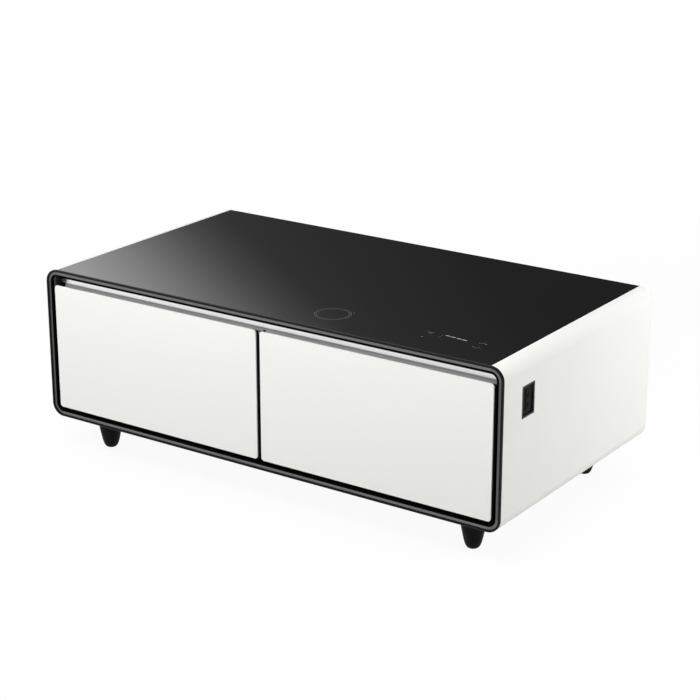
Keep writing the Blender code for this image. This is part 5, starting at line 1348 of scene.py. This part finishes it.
def make_port_module():
    """Recessed panel with a raised column that holds two sockets and their tongues."""
    low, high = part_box("side_port_module")
    panel = add_block("port_socket_module", low, (PORT_FACE, high.y, high.z))
    half_width = PORT_COLUMN_WIDTH / 2
    half_height = PORT_COLUMN_HEIGHT / 2
    column = add_block(
        "port_column",
        (PORT_FACE - PORT_COLUMN_ROOT, PORT_Y - half_width, PORT_Z - half_height),
        (PORT_COLUMN_FACE, PORT_Y + half_width, PORT_Z + half_height),
    )
    round_off(column, (at(0, PORT_COLUMN_FACE), PORT_COLUMN_EDGE, 3))
    tongues = []
    for side in (-1, 1):
        up = side * SOCKET_PITCH / 2
        z = PORT_Z + up
        socket_low = (PORT_COLUMN_FACE - SOCKET_DEPTH, PORT_Y - SOCKET_WIDTH / 2, z - SOCKET_LENGTH / 2)
        socket_high = (BODY_RIGHT, PORT_Y + SOCKET_WIDTH / 2, z + SOCKET_LENGTH / 2)
        cut(column, add_block("socket_tool", socket_low, socket_high))
        cut(panel, add_block("socket_tool", socket_low, socket_high))
        rise = Vector((0, 0, up))
        tongue = add_block("socket_tongue", Vector(TONGUE_LOW) + rise, Vector(TONGUE_HIGH) + rise)
        tongues.append(round_off(tongue, (every_edge, TONGUE_EDGE, 2)))
    join_pieces(panel, column, *tongues)
    fit(panel, "grey plastic", "cabinet", "side_port_module")


# Light, floor and camera
def mix_values(tree, factor, first, second):
    """A Mix node between two numbers."""
    node = feed(tree, add_node(tree, "ShaderNodeMix", data_type="FLOAT"), Factor=factor, A=first, B=second)
    return node.outputs["Result"]


def make_world():
    """A soft studio: white for the camera, and for gloss a bright left side that fades to a dark right."""
    world = bpy.data.worlds.new("studio")
    world.use_nodes = True
    bpy.context.scene.world = world
    tree = world.node_tree
    direction = add_node(tree, "ShaderNodeTexCoord").outputs["Generated"]
    parts = feed(tree, add_node(tree, "ShaderNodeSeparateXYZ"), Vector=direction).outputs
    leftwards = math_node(tree, "MULTIPLY", parts["X"], -1.0)
    azimuth = math_node(tree, "ARCTAN2", leftwards, parts["Y"])
    height = math_node(tree, "ARCSINE", parts["Z"])
    turn = math_node(tree, "MULTIPLY_ADD", height, GLOSS_LEAN, azimuth)
    level = GLOSS_LEVELS[0][1]
    for (start, low), (end, high) in zip(GLOSS_LEVELS, GLOSS_LEVELS[1:]):
        limits = {"From_Min": math.radians(start), "From_Max": math.radians(end), "To_Max": high - low}
        level = math_node(tree, "ADD", level, map_node(tree, turn, **limits))
    path = add_node(tree, "ShaderNodeLightPath").outputs
    other = mix_values(tree, path["Is Glossy Ray"], WORLD_SOFT_LIGHT, level)
    shown = mix_values(tree, path["Is Camera Ray"], other, 1.0)
    feed(tree, tree.nodes["Background"], Color=(1.0, 1.0, 1.0, 1.0), Strength=shown)


def make_floor():
    """White floor that keeps a soft shadow."""
    start_fresh()
    bpy.ops.mesh.primitive_plane_add(size=FLOOR_SIZE, location=(0, 0, FLOOR_HEIGHT))
    floor = named("studio_floor")
    material = bpy.data.materials.new("studio_floor")
    material.use_nodes = True
    tree = material.node_tree
    path = add_node(tree, "ShaderNodeLightPath").outputs
    shade_node = add_node(tree, "ShaderNodeMix", data_type="RGBA")
    feed(tree, shade_node, Factor=path["Is Camera Ray"], A=FLOOR_BOUNCE, B=FLOOR_SEEN)
    shader = tree.nodes["Principled BSDF"]
    feed(tree, shader, Base_Color=shade_node.outputs["Result"], Roughness=1.0, Specular_IOR_Level=0.0)
    seen = math_node(tree, "MAXIMUM", path["Is Camera Ray"], path["Is Glossy Ray"])
    away = add_node(tree, "ShaderNodeVectorMath", operation="LENGTH")
    tree.links.new(add_node(tree, "ShaderNodeTexCoord").outputs["Object"], away.inputs[0])
    limits = {"From_Min": FLOOR_NEAR, "From_Max": FLOOR_FAR, "To_Min": FLOOR_GLOW, "To_Max": 1.0}
    glow_level = map_node(tree, away.outputs["Value"], **limits)
    mix = feed(tree, add_node(tree, "ShaderNodeMixShader"), Fac=math_node(tree, "MULTIPLY", seen, glow_level))
    tree.links.new(shader.outputs["BSDF"], mix.inputs[1])
    tree.links.new(add_node(tree, "ShaderNodeEmission").outputs["Emission"], mix.inputs[2])
    tree.links.new(mix.outputs["Shader"], tree.nodes["Material Output"].inputs["Surface"])
    floor.data.materials.append(material)


def make_lamp(name, place, size, power, target):
    """A large soft lamp that looks at a point and shows in no picture or reflection."""
    data = bpy.data.lights.new(name, "AREA")
    data.shape = "RECTANGLE"
    data.size, data.size_y = size
    data.energy = power
    lamp = bpy.data.objects.new(name, data)
    bpy.context.scene.collection.objects.link(lamp)
    lamp.location = place
    lamp.rotation_euler = (Vector(target) - lamp.location).to_track_quat("-Z", "Y").to_euler()
    lamp.visible_camera = False
    lamp.visible_glossy = False


def make_camera():
    """The photograph's camera."""
    data = bpy.data.cameras.new("photo_camera")
    data.lens = CAMERA_LENS
    data.sensor_width = CAMERA_SENSOR
    data.shift_x = CAMERA_SHIFT
    data.clip_end = CAMERA_REACH
    camera = bpy.data.objects.new("photo_camera", data)
    bpy.context.scene.collection.objects.link(camera)
    camera.location = CAMERA_PLACE
    camera.rotation_euler = (math.radians(CAMERA_TILT_DEGREES), 0, math.radians(CAMERA_TURN_DEGREES))
    bpy.context.scene.camera = camera


# Scene
bpy.context.scene.view_settings.view_transform = "Standard"
finish_nodes()
make_glass_top()
make_glass_marks()
make_front_frame()
for label in SIDES:
    make_side_panel(label)
    make_drawer_front(label)
    make_finger_channel(label)
make_feet()
make_port_bezel()
make_port_module()
make_base_panel()
make_rear_panel()
make_rear_grille()
make_power_inlet()
fit_both_drawers(make_tub(), "tub", "tub_moulding", "drawer_tub")
fit_both_drawers(make_gasket(), "gasket", "gasket_folds", "drawer_gasket")
for label in SIDES:
    make_drawer_core(label)
    for place in ("outer", "inner"):
        for member in ("cabinet", "middle", "drawer"):
            make_slide_member(f"{label}_{place}_slide_{member}_member")
for node, ending, radius in ROUNDED_NODES:
    make_rounded_copy(node, ending, radius)
make_world()
make_floor()
for lamp in LAMPS:
    make_lamp(*lamp)
make_camera()
